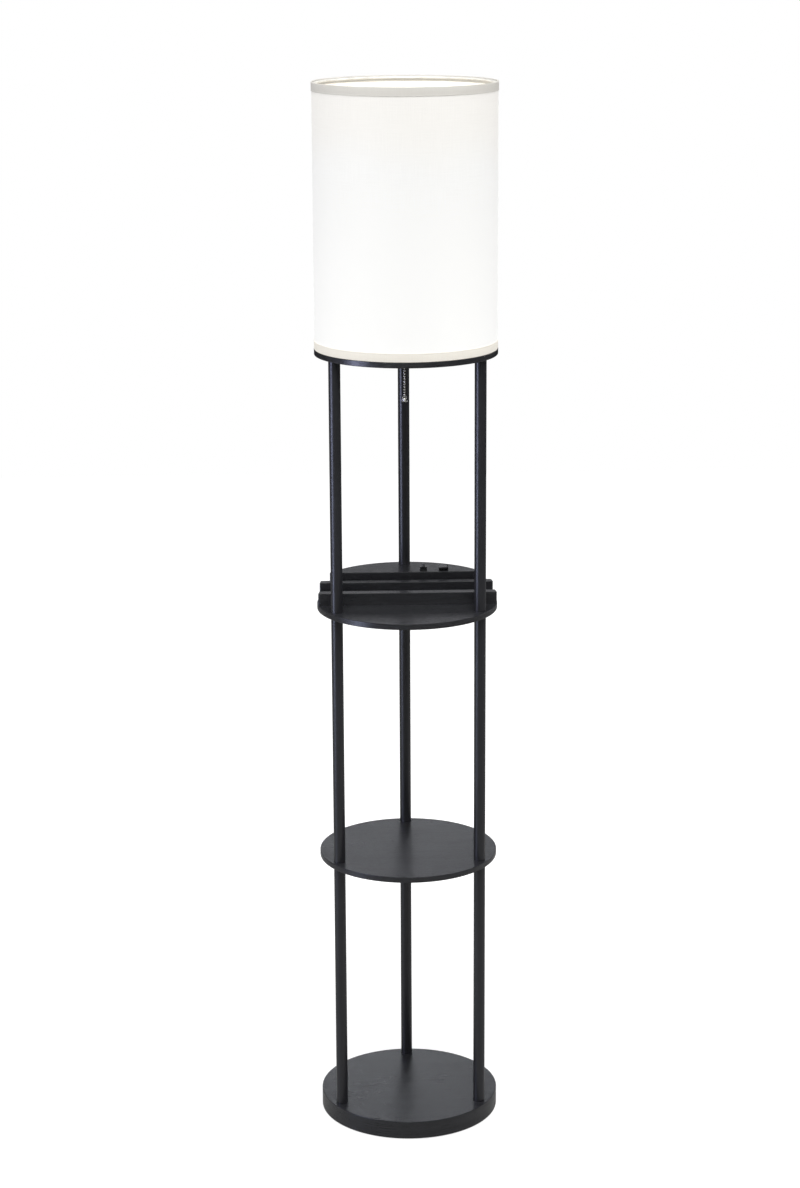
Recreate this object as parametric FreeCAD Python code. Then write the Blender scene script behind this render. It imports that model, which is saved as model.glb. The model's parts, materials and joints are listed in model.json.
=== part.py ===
import FreeCAD, Part
import math
import os

os.makedirs("parts", exist_ok=True)

# A round shelf floor lamp: three steel posts carry a base, two shelves and a top plate. The upper
# shelf has a device rack with a charger in its rear step. A drum shade stands on the top plate over
# a pull-chain lampholder.
#
# Millimetres and degrees. +Z is up, the origin is on the floor under the centre of the base, the
# front of the lamp faces -Y, and azimuths are counted from +X.

V = FreeCAD.Vector
UP = V(0, 0, 1)
HEXAGON_CORNER_REACH = 1 / math.sqrt(3)

# ---------------------------------------------------------------- driving dimensions
# The stack, from the floor up
LAMP_DIAMETER = 254.0
BASE_OVERHANG = 1.25
PAD_THICKNESS = 1.5
PAD_INSET = 6.0
BASE_THICKNESS = 26.0
LOWER_POST_LENGTH = 363.5
MIDDLE_SHELF_THICKNESS = 8.0
MIDDLE_POST_LENGTH = 359.0
CHARGING_SHELF_THICKNESS = 8.0
UPPER_POST_LENGTH = 353.5
TOP_PLATE_THICKNESS = 8.0
SHADE_HEIGHT = 361.5
BOARD_EDGE_ROUND = 0.8

# Posts and what joins them
POST_DIAMETER = 16.4
POST_WALL = 1.2
POST_RIM_MARGIN = 3.8
POST_AZIMUTHS = {"left": 210.0, "rear": 90.0, "right": 330.0}
PLUG_LENGTH = 12.0
STUD_DIAMETER = 6.0
STUD_ENGAGEMENT = 10.0
STUD_HOLE_CLEARANCE = 0.3
SCREW_SOCKET_DEPTH = 1.6
BASE_SCREW_HEAD_DIAMETER = 12.0
BASE_SCREW_HEAD_HEIGHT = 3.6
BASE_COUNTERBORE_DEPTH = 10.0
COUNTERBORE_CLEARANCE = 0.5
TOP_SCREW_HEAD_DIAMETER = 11.0
NIPPLE_DIAMETER = 10.0
NIPPLE_BORE = 7.0
NIPPLE_REACH = 12.0
NUT_FLATS = 14.0
NUT_THICKNESS = 3.5
NUT_RECESS_CLEARANCE = 0.5

# Ballast in the base
BALLAST_THICKNESS = 8.0
BALLAST_CLEARANCE = 0.5
BALLAST_MARGIN = 12.0

# Device rack on the charging shelf, from the back to the front
HOUSING_DEPTH = 63.5
HOUSING_HEIGHT = 26.5
HOUSING_WALL = 2.5
HOUSING_CORNER_ROUND = 2.0
HOUSING_ROOM_CORNER_ROUND = 3.0
HOUSING_EDGE_ROUND = 0.8
PHONE_SLOT_WIDTH = 19.0
MIDDLE_BAR_LENGTH = 247.0
MIDDLE_BAR_DEPTH = 14.5
MIDDLE_BAR_HEIGHT = 20.0
TABLET_SLOT_WIDTH = 36.5
FRONT_BAR_LENGTH = 251.5
FRONT_BAR_DEPTH = 15.0
FRONT_BAR_HEIGHT = 17.5
BAR_EDGE_ROUND = 0.7
BAR_END_TAPER = 2.0
BAR_END_ROUND = 2.0
POST_PASSAGE_CLEARANCE = 0.3
POST_PASSAGE_WALL = 2.0
RACK_SCREW_DIAMETER = 3.5
RACK_SCREW_HEAD_DIAMETER = 7.0
RACK_SCREW_REACH = 10.0
RACK_SCREW_SPACING = 90.0
HOUSING_BOSS_DIAMETER = 8.0
HOUSING_BOSS_MERGE = 1.0
HOUSING_BOSS_CORNER_INSET = 25.0
HOUSING_BOSS_REAR_AZIMUTH = 24.0

# Charger in the housing
BOARD_LENGTH = 62.0
BOARD_WIDTH = 24.0
BOARD_PLATE_THICKNESS = 1.6
BOARD_CLEARANCE = 5.0
BOARD_RIGHT_END = 14.0
TRANSFORMER_SIZE = (30.0, 15.0, 15.0)
FITTING_SETBACK = 6.0
PORT_OFFSET = 55.0
PORT_WIDTH = 13.1
PORT_DEPTH = 19.0
PORT_HEIGHT = 6.0
PORT_SUNK = 1.0
PORT_CHAMFER = 1.2
PORT_MOUTH_WIDTH = 12.3
PORT_MOUTH_HEIGHT = 4.9
PORT_MOUTH_DEPTH = 9.5
TONGUE_WIDTH = 11.1
TONGUE_THICKNESS = 1.84
TONGUE_SETBACK = 1.0
TONGUE_CEILING_GAP = 0.6
SWITCH_OFFSET = 26.0
SWITCH_WIDTH = 9.8
SWITCH_FLANGE_WIDTH = 10.8
SWITCH_FLANGE_THICKNESS = 1.2
SWITCH_PROUD = 5.5
SWITCH_BODY_DEPTH = 6.5
SWITCH_CORNER_ROUND = 1.2
SWITCH_HOLE_CLEARANCE = 0.15
BUTTON_DIAMETER = 4.6
BUTTON_PROUD = 4.0
BUTTON_GUIDED = 5.0
BUTTON_CLEARANCE = 0.1
SPRING_ROOM = 3.4
SPRING_WIRE = 0.4
SPRING_TURNS = 5
SPRING_END_GAP = 0.05
GLAND_AZIMUTH = 104.0
GLAND_BORE = 6.8
GLAND_DIAMETER = 11.0
GLAND_FLANGE_DIAMETER = 14.0
GLAND_FLANGE_THICKNESS = 2.0
GLAND_TAIL = 6.0
GLAND_SPOT_FACE_DEPTH = 0.5
LEAD_DIAMETER = 4.0
LEAD_HEIGHT = 17.0
LEAD_HOLE_CLEARANCE = 1.5
LEAD_LIFT = 14.0
LEAD_TOUCHDOWN = 30.0
LEAD_RISE_RUN = 29.0
LEAD_END_DEPTH = 2.0
LEAD_BENDS = (8.0, 6.0, 25.0, 25.0)

# Lampholder, its heights counted from the top plate's upper face
SOCKET_DIAMETER = 34.0
SOCKET_WALL = 0.8
SOCKET_CAP_HEIGHT = 17.0
SOCKET_CAP_NECK_DIAMETER = 18.0
SOCKET_CAP_SHOULDER = 9.0
SOCKET_COLLAR_HEIGHT = 6.0
SOCKET_COLLAR_WALL = 2.5
SOCKET_SHELL_BOTTOM = 10.0
SOCKET_SHELL_TOP = 60.0
SOCKET_BEAD_HEIGHT = 40.0
SOCKET_BEAD_SIZE = 1.2
INSULATOR_BOTTOM = 12.0
INSULATOR_TOP = 40.0
INSULATOR_SLEEVE_WALL = 1.2
INSULATOR_WIRE_BORE = 8.0
BULB_CAP_DIAMETER = 26.0
BULB_CAP_CLEARANCE = 0.3
SCREW_SHELL_WALL = 0.4
SCREW_SHELL_TOP = 58.0
CONTACT_DIAMETER = 6.0
CONTACT_HEIGHT = 2.6
CONTACT_CLEARANCE = 1.0

# Pull switch and its chain
CHAIN_AZIMUTH = 261.5
CHAIN_REACH = 20.2
PULL_TRAVEL = 8.0
HOOD_BORE = 7.2
HOOD_WALL = 0.8
HOOD_BOTTOM = 20.0
HOOD_TOP = 38.4
LEVER_PIVOT_REACH = 6.0
LEVER_PIVOT_HEIGHT = 28.0
LEVER_HUB_DIAMETER = 5.2
LEVER_WIDTH = 3.6
LEVER_THICKNESS = 1.2
LEVER_OVERHANG = 2.2
LEVER_FORK_WIDTH = 1.8
LEVER_FORK_DEPTH = 3.6
LEVER_PIN_DIAMETER = 2.0
LEVER_PIN_CLEARANCE = 0.05
LEVER_POCKET_CLEARANCE = 2.6
LEVER_PIN_BEARING = 3.0
LEVER_SWEEP_CLEARANCE = 1.4
LEVER_WINDOW_OVERRUN = 1.0
LEVER_WINDOW_INSET = 1.0
LEVER_SPRING_WIRE = 0.45
LEVER_SPRING_TURNS = 3
LEVER_SPRING_GAP = 0.2
BEAD_DIAMETER = 3.2
BEAD_PITCH = 3.7
LINK_DIAMETER = 1.0
CHAIN_FORK_GAP = 3.0
SWIVEL_DROP = 2.0
SWIVEL_GAP = 0.25
BELL_BOTTOM_DROP = 64.0
BELL_HEIGHT = 8.0
BELL_DIAMETER = 8.4
BELL_NECK_DIAMETER = 4.6
BELL_RECESS_DEPTH = 3.0
BELL_RIM = 1.0
EYELET_BORE = 5.2
EYELET_WALL = 0.7
EYELET_FLANGE = 1.4

# Bulb
BULB_LENGTH = 107.0
BULB_DIAMETER = 60.0
BULB_CAP_LENGTH = 21.0
BULB_TIP_DIAMETER = 8.4
BULB_NECK_DIAMETER = 27.2
BULB_HOUSING_LENGTH = 36.0
BULB_WALL = 1.2
BULB_BOARD_THICKNESS = 1.6
THREAD_DEPTH = 0.7
THREAD_RINGS = 5

# Shade
SHADE_INSET = 0.8
SHADE_WALL = 1.0
TRIM_HEIGHT = 12.0
TRIM_INNER_HEIGHT = 8.0
TRIM_THICKNESS = 0.8
FRAME_WIRE = 3.0
FRAME_ARM_AZIMUTHS = (0.0, 120.0, 240.0)
WASHER_OUTER_DIAMETER = 46.0
WASHER_THICKNESS = 1.4
WASHER_CLEARANCE = 0.3
RING_NUT_DIAMETER = 43.0
RING_NUT_HEIGHT = 6.5

# ---------------------------------------------------------------- places that follow from them
LAMP_RADIUS = LAMP_DIAMETER / 2
BASE_RADIUS = LAMP_RADIUS + BASE_OVERHANG
POST_RADIUS = POST_DIAMETER / 2
POST_BORE_RADIUS = POST_RADIUS - POST_WALL
POST_CIRCLE_RADIUS = LAMP_RADIUS - POST_RIM_MARGIN - POST_RADIUS

BASE_BOTTOM = PAD_THICKNESS
BASE_TOP = BASE_BOTTOM + BASE_THICKNESS
MIDDLE_SHELF_BOTTOM = BASE_TOP + LOWER_POST_LENGTH
MIDDLE_SHELF_TOP = MIDDLE_SHELF_BOTTOM + MIDDLE_SHELF_THICKNESS
CHARGING_SHELF_BOTTOM = MIDDLE_SHELF_TOP + MIDDLE_POST_LENGTH
CHARGING_SHELF_TOP = CHARGING_SHELF_BOTTOM + CHARGING_SHELF_THICKNESS
TOP_PLATE_BOTTOM = CHARGING_SHELF_TOP + UPPER_POST_LENGTH
TOP_PLATE_TOP = TOP_PLATE_BOTTOM + TOP_PLATE_THICKNESS
SHADE_TOP = TOP_PLATE_TOP + SHADE_HEIGHT

TIERS = {
    "lower": (BASE_TOP, LOWER_POST_LENGTH),
    "middle": (MIDDLE_SHELF_TOP, MIDDLE_POST_LENGTH),
    "upper": (CHARGING_SHELF_TOP, UPPER_POST_LENGTH),
}

HOUSING_FRONT = LAMP_RADIUS - HOUSING_DEPTH
HOUSING_TOP = CHARGING_SHELF_TOP + HOUSING_HEIGHT
HOUSING_CEILING = HOUSING_TOP - HOUSING_WALL
MIDDLE_BAR_FRONT = HOUSING_FRONT - PHONE_SLOT_WIDTH - MIDDLE_BAR_DEPTH
FRONT_BAR_FRONT = MIDDLE_BAR_FRONT - TABLET_SLOT_WIDTH - FRONT_BAR_DEPTH
FITTING_FRONT = HOUSING_FRONT + FITTING_SETBACK

SOCKET_RADIUS = SOCKET_DIAMETER / 2
INSULATOR_RADIUS = SOCKET_RADIUS - SOCKET_WALL
SCREW_SHELL_BORE_RADIUS = BULB_CAP_DIAMETER / 2 + BULB_CAP_CLEARANCE
LEVER_ARM = CHAIN_REACH - LEVER_PIVOT_REACH
LEVER_TILT = math.degrees(math.asin(PULL_TRAVEL / 2 / LEVER_ARM))
CHAIN_HOOK_Z = TOP_PLATE_TOP + LEVER_PIVOT_HEIGHT + PULL_TRAVEL / 2
SWIVEL_Z = TOP_PLATE_BOTTOM - EYELET_WALL - SWIVEL_DROP
BELL_BOTTOM = TOP_PLATE_BOTTOM - BELL_BOTTOM_DROP
BULB_TIP_Z = TOP_PLATE_TOP + INSULATOR_TOP + CONTACT_HEIGHT

SHADE_RADIUS = LAMP_RADIUS - SHADE_INSET
SHADE_BORE_RADIUS = SHADE_RADIUS - SHADE_WALL
FRAME_RADIUS = SHADE_BORE_RADIUS - TRIM_THICKNESS - FRAME_WIRE / 2


# ---------------------------------------------------------------- shapes used more than once
def polar(radius, azimuth, z=0.0):
    """The point at a radius and azimuth about the lamp's axis."""
    angle = math.radians(azimuth)
    return V(radius * math.cos(angle), radius * math.sin(angle), z)


def cylinder(radius, bottom, top, centre=V(0, 0, 0)):
    """An upright cylinder between two heights."""
    return Part.makeCylinder(radius, top - bottom, V(centre.x, centre.y, bottom))


def tube(outer_radius, inner_radius, bottom, top, centre=V(0, 0, 0)):
    """An upright tube between two heights."""
    return cylinder(outer_radius, bottom, top, centre).cut(cylinder(inner_radius, bottom, top, centre))


def block(x_range, y_range, z_range):
    """A box from its three ranges."""
    size = [high - low for low, high in (x_range, y_range, z_range)]
    return Part.makeBox(*size, V(x_range[0], y_range[0], z_range[0]))


def revolved(start, *steps, z=0.0):
    """A solid of revolution about the lamp's axis.

    Each step is the next (radius, height) point of the outline. A step of two points is an arc
    through the first to the second. Heights are counted from z.
    """
    edges = []
    here = V(start[0], 0, start[1] + z)
    first = here
    for step in steps:
        if isinstance(step[0], tuple):
            middle, end = (V(r, 0, h + z) for r, h in step)
            edges.append(Part.Arc(here, middle, end).toShape())
        else:
            end = V(step[0], 0, step[1] + z)
            edges.append(Part.makeLine(here, end))
        here = end
    if not here.isEqual(first, 1e-6):
        edges.append(Part.makeLine(here, first))
    return Part.Face(Part.Wire(edges)).revolve(V(0, 0, 0), UP, 360)


def turned_to(shape, azimuth):
    """A shape drawn along +X, turned about the lamp's axis to an azimuth."""
    return shape.rotated(V(0, 0, 0), UP, azimuth)


def rim_edges(shape, radius, *heights):
    """The round edges of a board at its radius and the given heights."""
    found = []
    for edge in shape.Edges:
        box = edge.BoundBox
        flat = box.ZLength < 1e-6 and any(abs(box.ZMin - height) < 1e-6 for height in heights)
        if flat and abs(box.XMax - radius) < 1e-6:
            found.append(edge)
    return found


def round_board(bottom, top, radius=LAMP_RADIUS):
    """A round board with softened rims."""
    board = cylinder(radius, bottom, top)
    return board.makeFillet(BOARD_EDGE_ROUND, rim_edges(board, radius, bottom, top))


def post_centres(*names):
    """The centres of the named posts, or of all three."""
    return [polar(POST_CIRCLE_RADIUS, POST_AZIMUTHS[name]) for name in names or POST_AZIMUTHS]


def stud_holes(bottom, top, *names):
    """Clearance holes for the studs of the named posts."""
    radius = STUD_DIAMETER / 2 + STUD_HOLE_CLEARANCE
    return [cylinder(radius, bottom, top, centre) for centre in post_centres(*names)]


def hexagon(flats, bottom, top, centre=V(0, 0, 0)):
    """A hexagonal prism, with a flat on each of its -Y and +Y sides."""
    corner = flats * HEXAGON_CORNER_REACH
    points = [polar(corner, 60 * side, bottom) + V(centre.x, centre.y, 0) for side in range(7)]
    return Part.Face(Part.makePolygon(points)).extrude(V(0, 0, top - bottom))


def head_cone(diameter, head_diameter, head_z, direction, centre):
    """The cone of a flat-headed screw, whose wide end is at head_z."""
    height = (head_diameter - diameter) / 2
    return Part.makeCone(head_diameter / 2, diameter / 2, height, V(centre.x, centre.y, head_z),
                         V(0, 0, direction))


def flat_head_screw(diameter, head_diameter, length, head_z, direction, centre):
    """A flat-headed screw that points up (direction 1) or down (-1) from head_z."""
    shank = Part.makeCylinder(diameter / 2, length, V(centre.x, centre.y, head_z), V(0, 0, direction))
    depth = SCREW_SOCKET_DEPTH * direction
    socket = hexagon(diameter * 0.6, min(head_z, head_z + depth), max(head_z, head_z + depth), centre)
    return shank.fuse(head_cone(diameter, head_diameter, head_z, direction, centre)).cut(socket)


def group(solids):
    """Separate solids that share one node."""
    return Part.makeCompound(solids)


def swept_round(path, diameter, start, direction):
    """A round bar along a wire that starts at a point in a direction."""
    section = Part.Wire(Part.makeCircle(diameter / 2, start, direction))
    return path.makePipeShell([section], True, True)


def rounded_path(points, radii):
    """Straight runs between the points, joined by tangent arcs of the given radii."""
    edges = []
    here = points[0]
    for before, corner, after, radius in zip(points, points[1:], points[2:], radii):
        back = (before - corner).normalize()
        ahead = (after - corner).normalize()
        half = back.getAngle(ahead) / 2
        reach = radius / math.tan(half)
        start = corner + back * reach
        end = corner + ahead * reach
        bisector = (back + ahead).normalize()
        middle = corner + bisector * (radius / math.sin(half) - radius)
        edges += [Part.makeLine(here, start), Part.Arc(start, middle, end).toShape()]
        here = end
    edges.append(Part.makeLine(here, points[-1]))
    return Part.Wire(edges)


def coil(radius, wire, pitch, turns):
    """A helical spring about +Z that starts at z = wire / 2."""
    helix = Part.makeHelix(pitch, pitch * turns, radius)
    helix.translate(V(0, 0, wire / 2))
    section = Part.Wire(Part.makeCircle(wire / 2, V(radius, 0, wire / 2), V(0, 1, 0)))
    return Part.Wire(helix.Edges).makePipeShell([section], True, True)


# ---------------------------------------------------------------- base
def base_disc():
    """The thick base board, with its ballast pocket and screw counterbores underneath."""
    board = round_board(BASE_BOTTOM, BASE_TOP, BASE_RADIUS)
    pocket = cylinder(ballast_radius() + BALLAST_CLEARANCE, BASE_BOTTOM, BASE_BOTTOM + BALLAST_THICKNESS)
    bore = BASE_SCREW_HEAD_DIAMETER / 2 + COUNTERBORE_CLEARANCE
    seats = [cylinder(bore, BASE_BOTTOM, BASE_BOTTOM + BASE_COUNTERBORE_DEPTH, centre)
             for centre in post_centres()]
    return board.cut([pocket] + seats + stud_holes(BASE_BOTTOM, BASE_TOP))


def ballast_radius():
    """The ballast reaches to a margin inside the screw counterbores."""
    return POST_CIRCLE_RADIUS - BASE_SCREW_HEAD_DIAMETER / 2 - BALLAST_MARGIN


def base_ballast():
    """A steel plate in the base's pocket."""
    return cylinder(ballast_radius(), BASE_BOTTOM, BASE_BOTTOM + BALLAST_THICKNESS)


def base_pad():
    """The felt pad that the lamp stands on."""
    return cylinder(BASE_RADIUS - PAD_INSET, 0, PAD_THICKNESS)


def base_screws():
    """Three screws from below into the lower posts."""
    head_bottom = BASE_BOTTOM + BASE_COUNTERBORE_DEPTH - BASE_SCREW_HEAD_HEIGHT
    head_top = BASE_BOTTOM + BASE_COUNTERBORE_DEPTH
    screws = []
    for centre in post_centres():
        head = cylinder(BASE_SCREW_HEAD_DIAMETER / 2, head_bottom, head_top, centre)
        socket = hexagon(STUD_DIAMETER * 0.8, head_bottom, head_bottom + SCREW_SOCKET_DEPTH, centre)
        shank = cylinder(STUD_DIAMETER / 2, head_top, BASE_TOP + STUD_ENGAGEMENT, centre)
        screws.append(head.fuse(shank).cut(socket))
    return group(screws)


# ---------------------------------------------------------------- posts and shelves
def post(tier, side):
    """One steel tube of a tier."""
    bottom, length = TIERS[tier]
    centre = post_centres(side)[0]
    shape = tube(POST_RADIUS, POST_BORE_RADIUS, bottom, bottom + length, centre)
    if (tier, side) == ("upper", "rear"):
        hole = Part.makeCylinder(LEAD_DIAMETER / 2 + LEAD_HOLE_CLEARANCE, POST_RADIUS,
                                 V(0, POST_CIRCLE_RADIUS - POST_RADIUS, bottom + LEAD_HEIGHT), V(0, 1, 0))
        shape = shape.cut(hole)
    return shape


def plug(bottom, hole_diameter, centre):
    """A threaded plug pressed into one end of a post."""
    return tube(POST_BORE_RADIUS, hole_diameter / 2, bottom, bottom + PLUG_LENGTH, centre)


def post_end_plugs():
    """The plugs of all post ends but the one that the lead leaves by."""
    plugs = []
    for tier, (bottom, length) in TIERS.items():
        for side, centre in zip(POST_AZIMUTHS, post_centres()):
            plugs.append(plug(bottom, STUD_DIAMETER, centre))
            if (tier, side) != ("upper", "rear"):
                plugs.append(plug(bottom + length - PLUG_LENGTH, STUD_DIAMETER, centre))
    return group(plugs)


def lead_post_plug():
    """The plug at the top of the upper rear post, threaded for a hollow nipple."""
    return plug(TOP_PLATE_BOTTOM - PLUG_LENGTH, NIPPLE_DIAMETER, post_centres("rear")[0])


def middle_shelf():
    """The plain shelf."""
    board = round_board(MIDDLE_SHELF_BOTTOM, MIDDLE_SHELF_TOP)
    return board.cut(stud_holes(MIDDLE_SHELF_BOTTOM, MIDDLE_SHELF_TOP))


def shelf_studs():
    """Double-ended studs through the two shelves."""
    studs = []
    for bottom, top in ((MIDDLE_SHELF_BOTTOM, MIDDLE_SHELF_TOP), (CHARGING_SHELF_BOTTOM, CHARGING_SHELF_TOP)):
        for centre in post_centres():
            studs.append(cylinder(STUD_DIAMETER / 2, bottom - STUD_ENGAGEMENT, top + STUD_ENGAGEMENT, centre))
    return group(studs)


# ---------------------------------------------------------------- charging shelf and rack
def rack_screw_centres():
    """Three screws in a row under each bar."""
    rows = (FRONT_BAR_FRONT + FRONT_BAR_DEPTH / 2, MIDDLE_BAR_FRONT + MIDDLE_BAR_DEPTH / 2)
    return [V(x, y, 0) for y in rows for x in (-RACK_SCREW_SPACING, 0, RACK_SCREW_SPACING)]


def housing_boss_centres():
    """Two bosses near the housing's front corners and two beside the rear post."""
    half_width = math.sqrt(LAMP_RADIUS ** 2 - HOUSING_FRONT ** 2)
    x = half_width - HOUSING_BOSS_CORNER_INSET
    inset = HOUSING_WALL + HOUSING_BOSS_DIAMETER / 2 - HOUSING_BOSS_MERGE
    y = HOUSING_FRONT + inset
    radius = LAMP_RADIUS - inset
    rear = [polar(radius, 90 + side * HOUSING_BOSS_REAR_AZIMUTH) for side in (-1, 1)]
    return [V(-x, y, 0), V(x, y, 0)] + rear


def under_shelf_screw(centre):
    """A flat-headed screw from below the charging shelf."""
    return flat_head_screw(RACK_SCREW_DIAMETER, RACK_SCREW_HEAD_DIAMETER,
                           CHARGING_SHELF_THICKNESS + RACK_SCREW_REACH, CHARGING_SHELF_BOTTOM, 1, centre)


def under_shelf_seat(centre):
    """The hole that such a screw fills in the shelf, the bar or the boss."""
    cone = head_cone(RACK_SCREW_DIAMETER, RACK_SCREW_HEAD_DIAMETER, CHARGING_SHELF_BOTTOM, 1, centre)
    return cone.fuse(cylinder(RACK_SCREW_DIAMETER / 2, CHARGING_SHELF_BOTTOM,
                              CHARGING_SHELF_TOP + RACK_SCREW_REACH, centre))


def charging_shelf():
    """The shelf under the rack."""
    board = round_board(CHARGING_SHELF_BOTTOM, CHARGING_SHELF_TOP)
    seats = [under_shelf_seat(centre) for centre in rack_screw_centres() + housing_boss_centres()]
    return board.cut(stud_holes(CHARGING_SHELF_BOTTOM, CHARGING_SHELF_TOP) + seats)


def rack_bar(front, length, depth, height):
    """A bar across the shelf, with ends that run in a little towards the back."""
    top = CHARGING_SHELF_TOP + height
    half_front = length / 2
    half_back = half_front - BAR_END_TAPER
    plan = [V(-half_front, front, CHARGING_SHELF_TOP), V(half_front, front, CHARGING_SHELF_TOP),
            V(half_back, front + depth, CHARGING_SHELF_TOP), V(-half_back, front + depth, CHARGING_SHELF_TOP)]
    bar = Part.Face(Part.makePolygon(plan + plan[:1])).extrude(V(0, 0, height))
    upright = [edge for edge in bar.Edges if edge.BoundBox.ZLength > height - 1e-6]
    bar = bar.makeFillet(BAR_END_ROUND, upright)
    upper = [edge for edge in bar.Edges if edge.BoundBox.ZMin > top - 1e-6]
    bar = bar.makeFillet(BAR_EDGE_ROUND, upper)
    return bar.cut([under_shelf_seat(centre) for centre in rack_screw_centres()])


def rack_screws():
    """The screws of both bars."""
    return group([under_shelf_screw(centre) for centre in rack_screw_centres()])


def housing_block(inset, bottom, top, corner_round):
    """The D of the housing's plan, drawn in by inset, with rounded corners."""
    front = HOUSING_FRONT + inset
    radius = LAMP_RADIUS - inset
    shape = cylinder(radius, bottom, top).common(
        block((-radius, radius), (front, radius), (bottom, top)))
    corners = [edge for edge in shape.Edges if edge.BoundBox.ZLength > (top - bottom) / 2
               and abs(edge.BoundBox.YMin - front) < 1e-6]
    return shape.makeFillet(corner_round, corners)


def charger_housing():
    """The hollow rear step of the rack, open below."""
    body = housing_block(0, CHARGING_SHELF_TOP, HOUSING_TOP, HOUSING_CORNER_ROUND)
    upper = [edge for edge in body.Edges if edge.BoundBox.ZMin > HOUSING_TOP - 1e-6]
    body = body.makeFillet(HOUSING_EDGE_ROUND, upper)
    room = housing_block(HOUSING_WALL, CHARGING_SHELF_TOP, HOUSING_CEILING,
                         HOUSING_ROOM_CORNER_ROUND)
    passage_radius = POST_RADIUS + POST_PASSAGE_CLEARANCE
    rear_post = post_centres("rear")[0]
    bosses = [cylinder(HOUSING_BOSS_DIAMETER / 2, CHARGING_SHELF_TOP, HOUSING_CEILING, centre)
              for centre in housing_boss_centres()]
    collar = cylinder(passage_radius + POST_PASSAGE_WALL, CHARGING_SHELF_TOP + LEAD_HEIGHT + LEAD_DIAMETER,
                      HOUSING_CEILING, rear_post)
    room = room.cut(bosses + [collar])
    body = body.cut(room)
    seats = [under_shelf_seat(centre) for centre in housing_boss_centres()]
    passage = cylinder(passage_radius, CHARGING_SHELF_TOP, HOUSING_TOP, rear_post)
    return body.cut([passage, port_envelope(), switch_seat()] + gland_seat() + seats)


def housing_screws():
    """The screws of the housing."""
    return group([under_shelf_screw(centre) for centre in housing_boss_centres()])


# ---------------------------------------------------------------- charger and its fittings
def transformer_ranges():
    """The charger's transformer stands on the board in front of the rear post."""
    length, width, height = TRANSFORMER_SIZE
    front = HOUSING_FRONT + HOUSING_WALL + BOARD_CLEARANCE
    bottom = CHARGING_SHELF_TOP + BOARD_CLEARANCE + BOARD_PLATE_THICKNESS
    right = BOARD_RIGHT_END - BOARD_CLEARANCE
    return (right - length, right), (front, front + width), (bottom, bottom + height)


def charger_transformer():
    """The charger's transformer."""
    return block(*transformer_ranges())


def charger_board():
    """The charger's circuit board on four short feet."""
    front = HOUSING_FRONT + HOUSING_WALL + BOARD_CLEARANCE
    bottom = CHARGING_SHELF_TOP + BOARD_CLEARANCE
    x_range = (BOARD_RIGHT_END - BOARD_LENGTH, BOARD_RIGHT_END)
    y_range = (front, front + BOARD_WIDTH)
    board = block(x_range, y_range, (bottom, bottom + BOARD_PLATE_THICKNESS))
    inset = BOARD_CLEARANCE / 2
    feet = [cylinder(inset / 2, CHARGING_SHELF_TOP, bottom, V(x, y, 0))
            for x in (x_range[0] + inset, x_range[1] - inset)
            for y in (y_range[0] + inset, y_range[1] - inset)]
    return board.fuse(feet)


def port_envelope():
    """The port's outer form, sunk in the housing's top, with its upper long edges chamfered."""
    bottom = HOUSING_TOP - PORT_SUNK
    shape = block((PORT_OFFSET - PORT_WIDTH / 2, PORT_OFFSET + PORT_WIDTH / 2),
                  (FITTING_FRONT, FITTING_FRONT + PORT_DEPTH), (bottom, bottom + PORT_HEIGHT))
    upper = [edge for edge in shape.Edges if edge.BoundBox.ZMin > bottom + PORT_HEIGHT - 1e-6
             and edge.BoundBox.YLength > PORT_DEPTH - 1e-6]
    return shape.makeChamfer(PORT_CHAMFER, upper)


def port_mouth():
    """The port's cavity: its ranges in x, y and z."""
    bottom = HOUSING_TOP - PORT_SUNK + (PORT_HEIGHT - PORT_MOUTH_HEIGHT) / 2
    return ((PORT_OFFSET - PORT_MOUTH_WIDTH / 2, PORT_OFFSET + PORT_MOUTH_WIDTH / 2),
            (FITTING_FRONT, FITTING_FRONT + PORT_MOUTH_DEPTH), (bottom, bottom + PORT_MOUTH_HEIGHT))


def usb_port_shell():
    """The port's body, with its mouth to the front."""
    upper_chamfer = PORT_CHAMFER - (PORT_WIDTH - PORT_MOUTH_WIDTH) / 2
    mouth = block(*port_mouth())
    ceiling = port_mouth()[2][1]
    upper = [edge for edge in mouth.Edges if edge.BoundBox.ZMin > ceiling - 1e-6
             and edge.BoundBox.YLength > PORT_MOUTH_DEPTH - 1e-6]
    return port_envelope().cut(mouth.makeChamfer(upper_chamfer, upper))


def usb_port_tongue():
    """The contact tongue inside the port."""
    (x_low, x_high), (front, back), (floor, ceiling) = port_mouth()
    side = (x_high - x_low - TONGUE_WIDTH) / 2
    top = ceiling - TONGUE_CEILING_GAP
    return block((x_low + side, x_high - side), (front + TONGUE_SETBACK, back),
                 (top - TONGUE_THICKNESS, top))


def switch_block(width, bottom, top):
    """A square block with rounded corners at the switch's place."""
    centre_y = FITTING_FRONT + SWITCH_FLANGE_WIDTH / 2
    shape = block((SWITCH_OFFSET - width / 2, SWITCH_OFFSET + width / 2),
                  (centre_y - width / 2, centre_y + width / 2), (bottom, top))
    upright = [edge for edge in shape.Edges if edge.BoundBox.ZLength > 1e-6]
    return shape.makeFillet(SWITCH_CORNER_ROUND, upright)


def switch_centre():
    """The axis of the charger's button."""
    return V(SWITCH_OFFSET, FITTING_FRONT + SWITCH_FLANGE_WIDTH / 2, 0)


def switch_seat():
    """The hole in the housing's top for the switch."""
    return switch_block(SWITCH_WIDTH + 2 * SWITCH_HOLE_CLEARANCE, HOUSING_CEILING, HOUSING_TOP)


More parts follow.
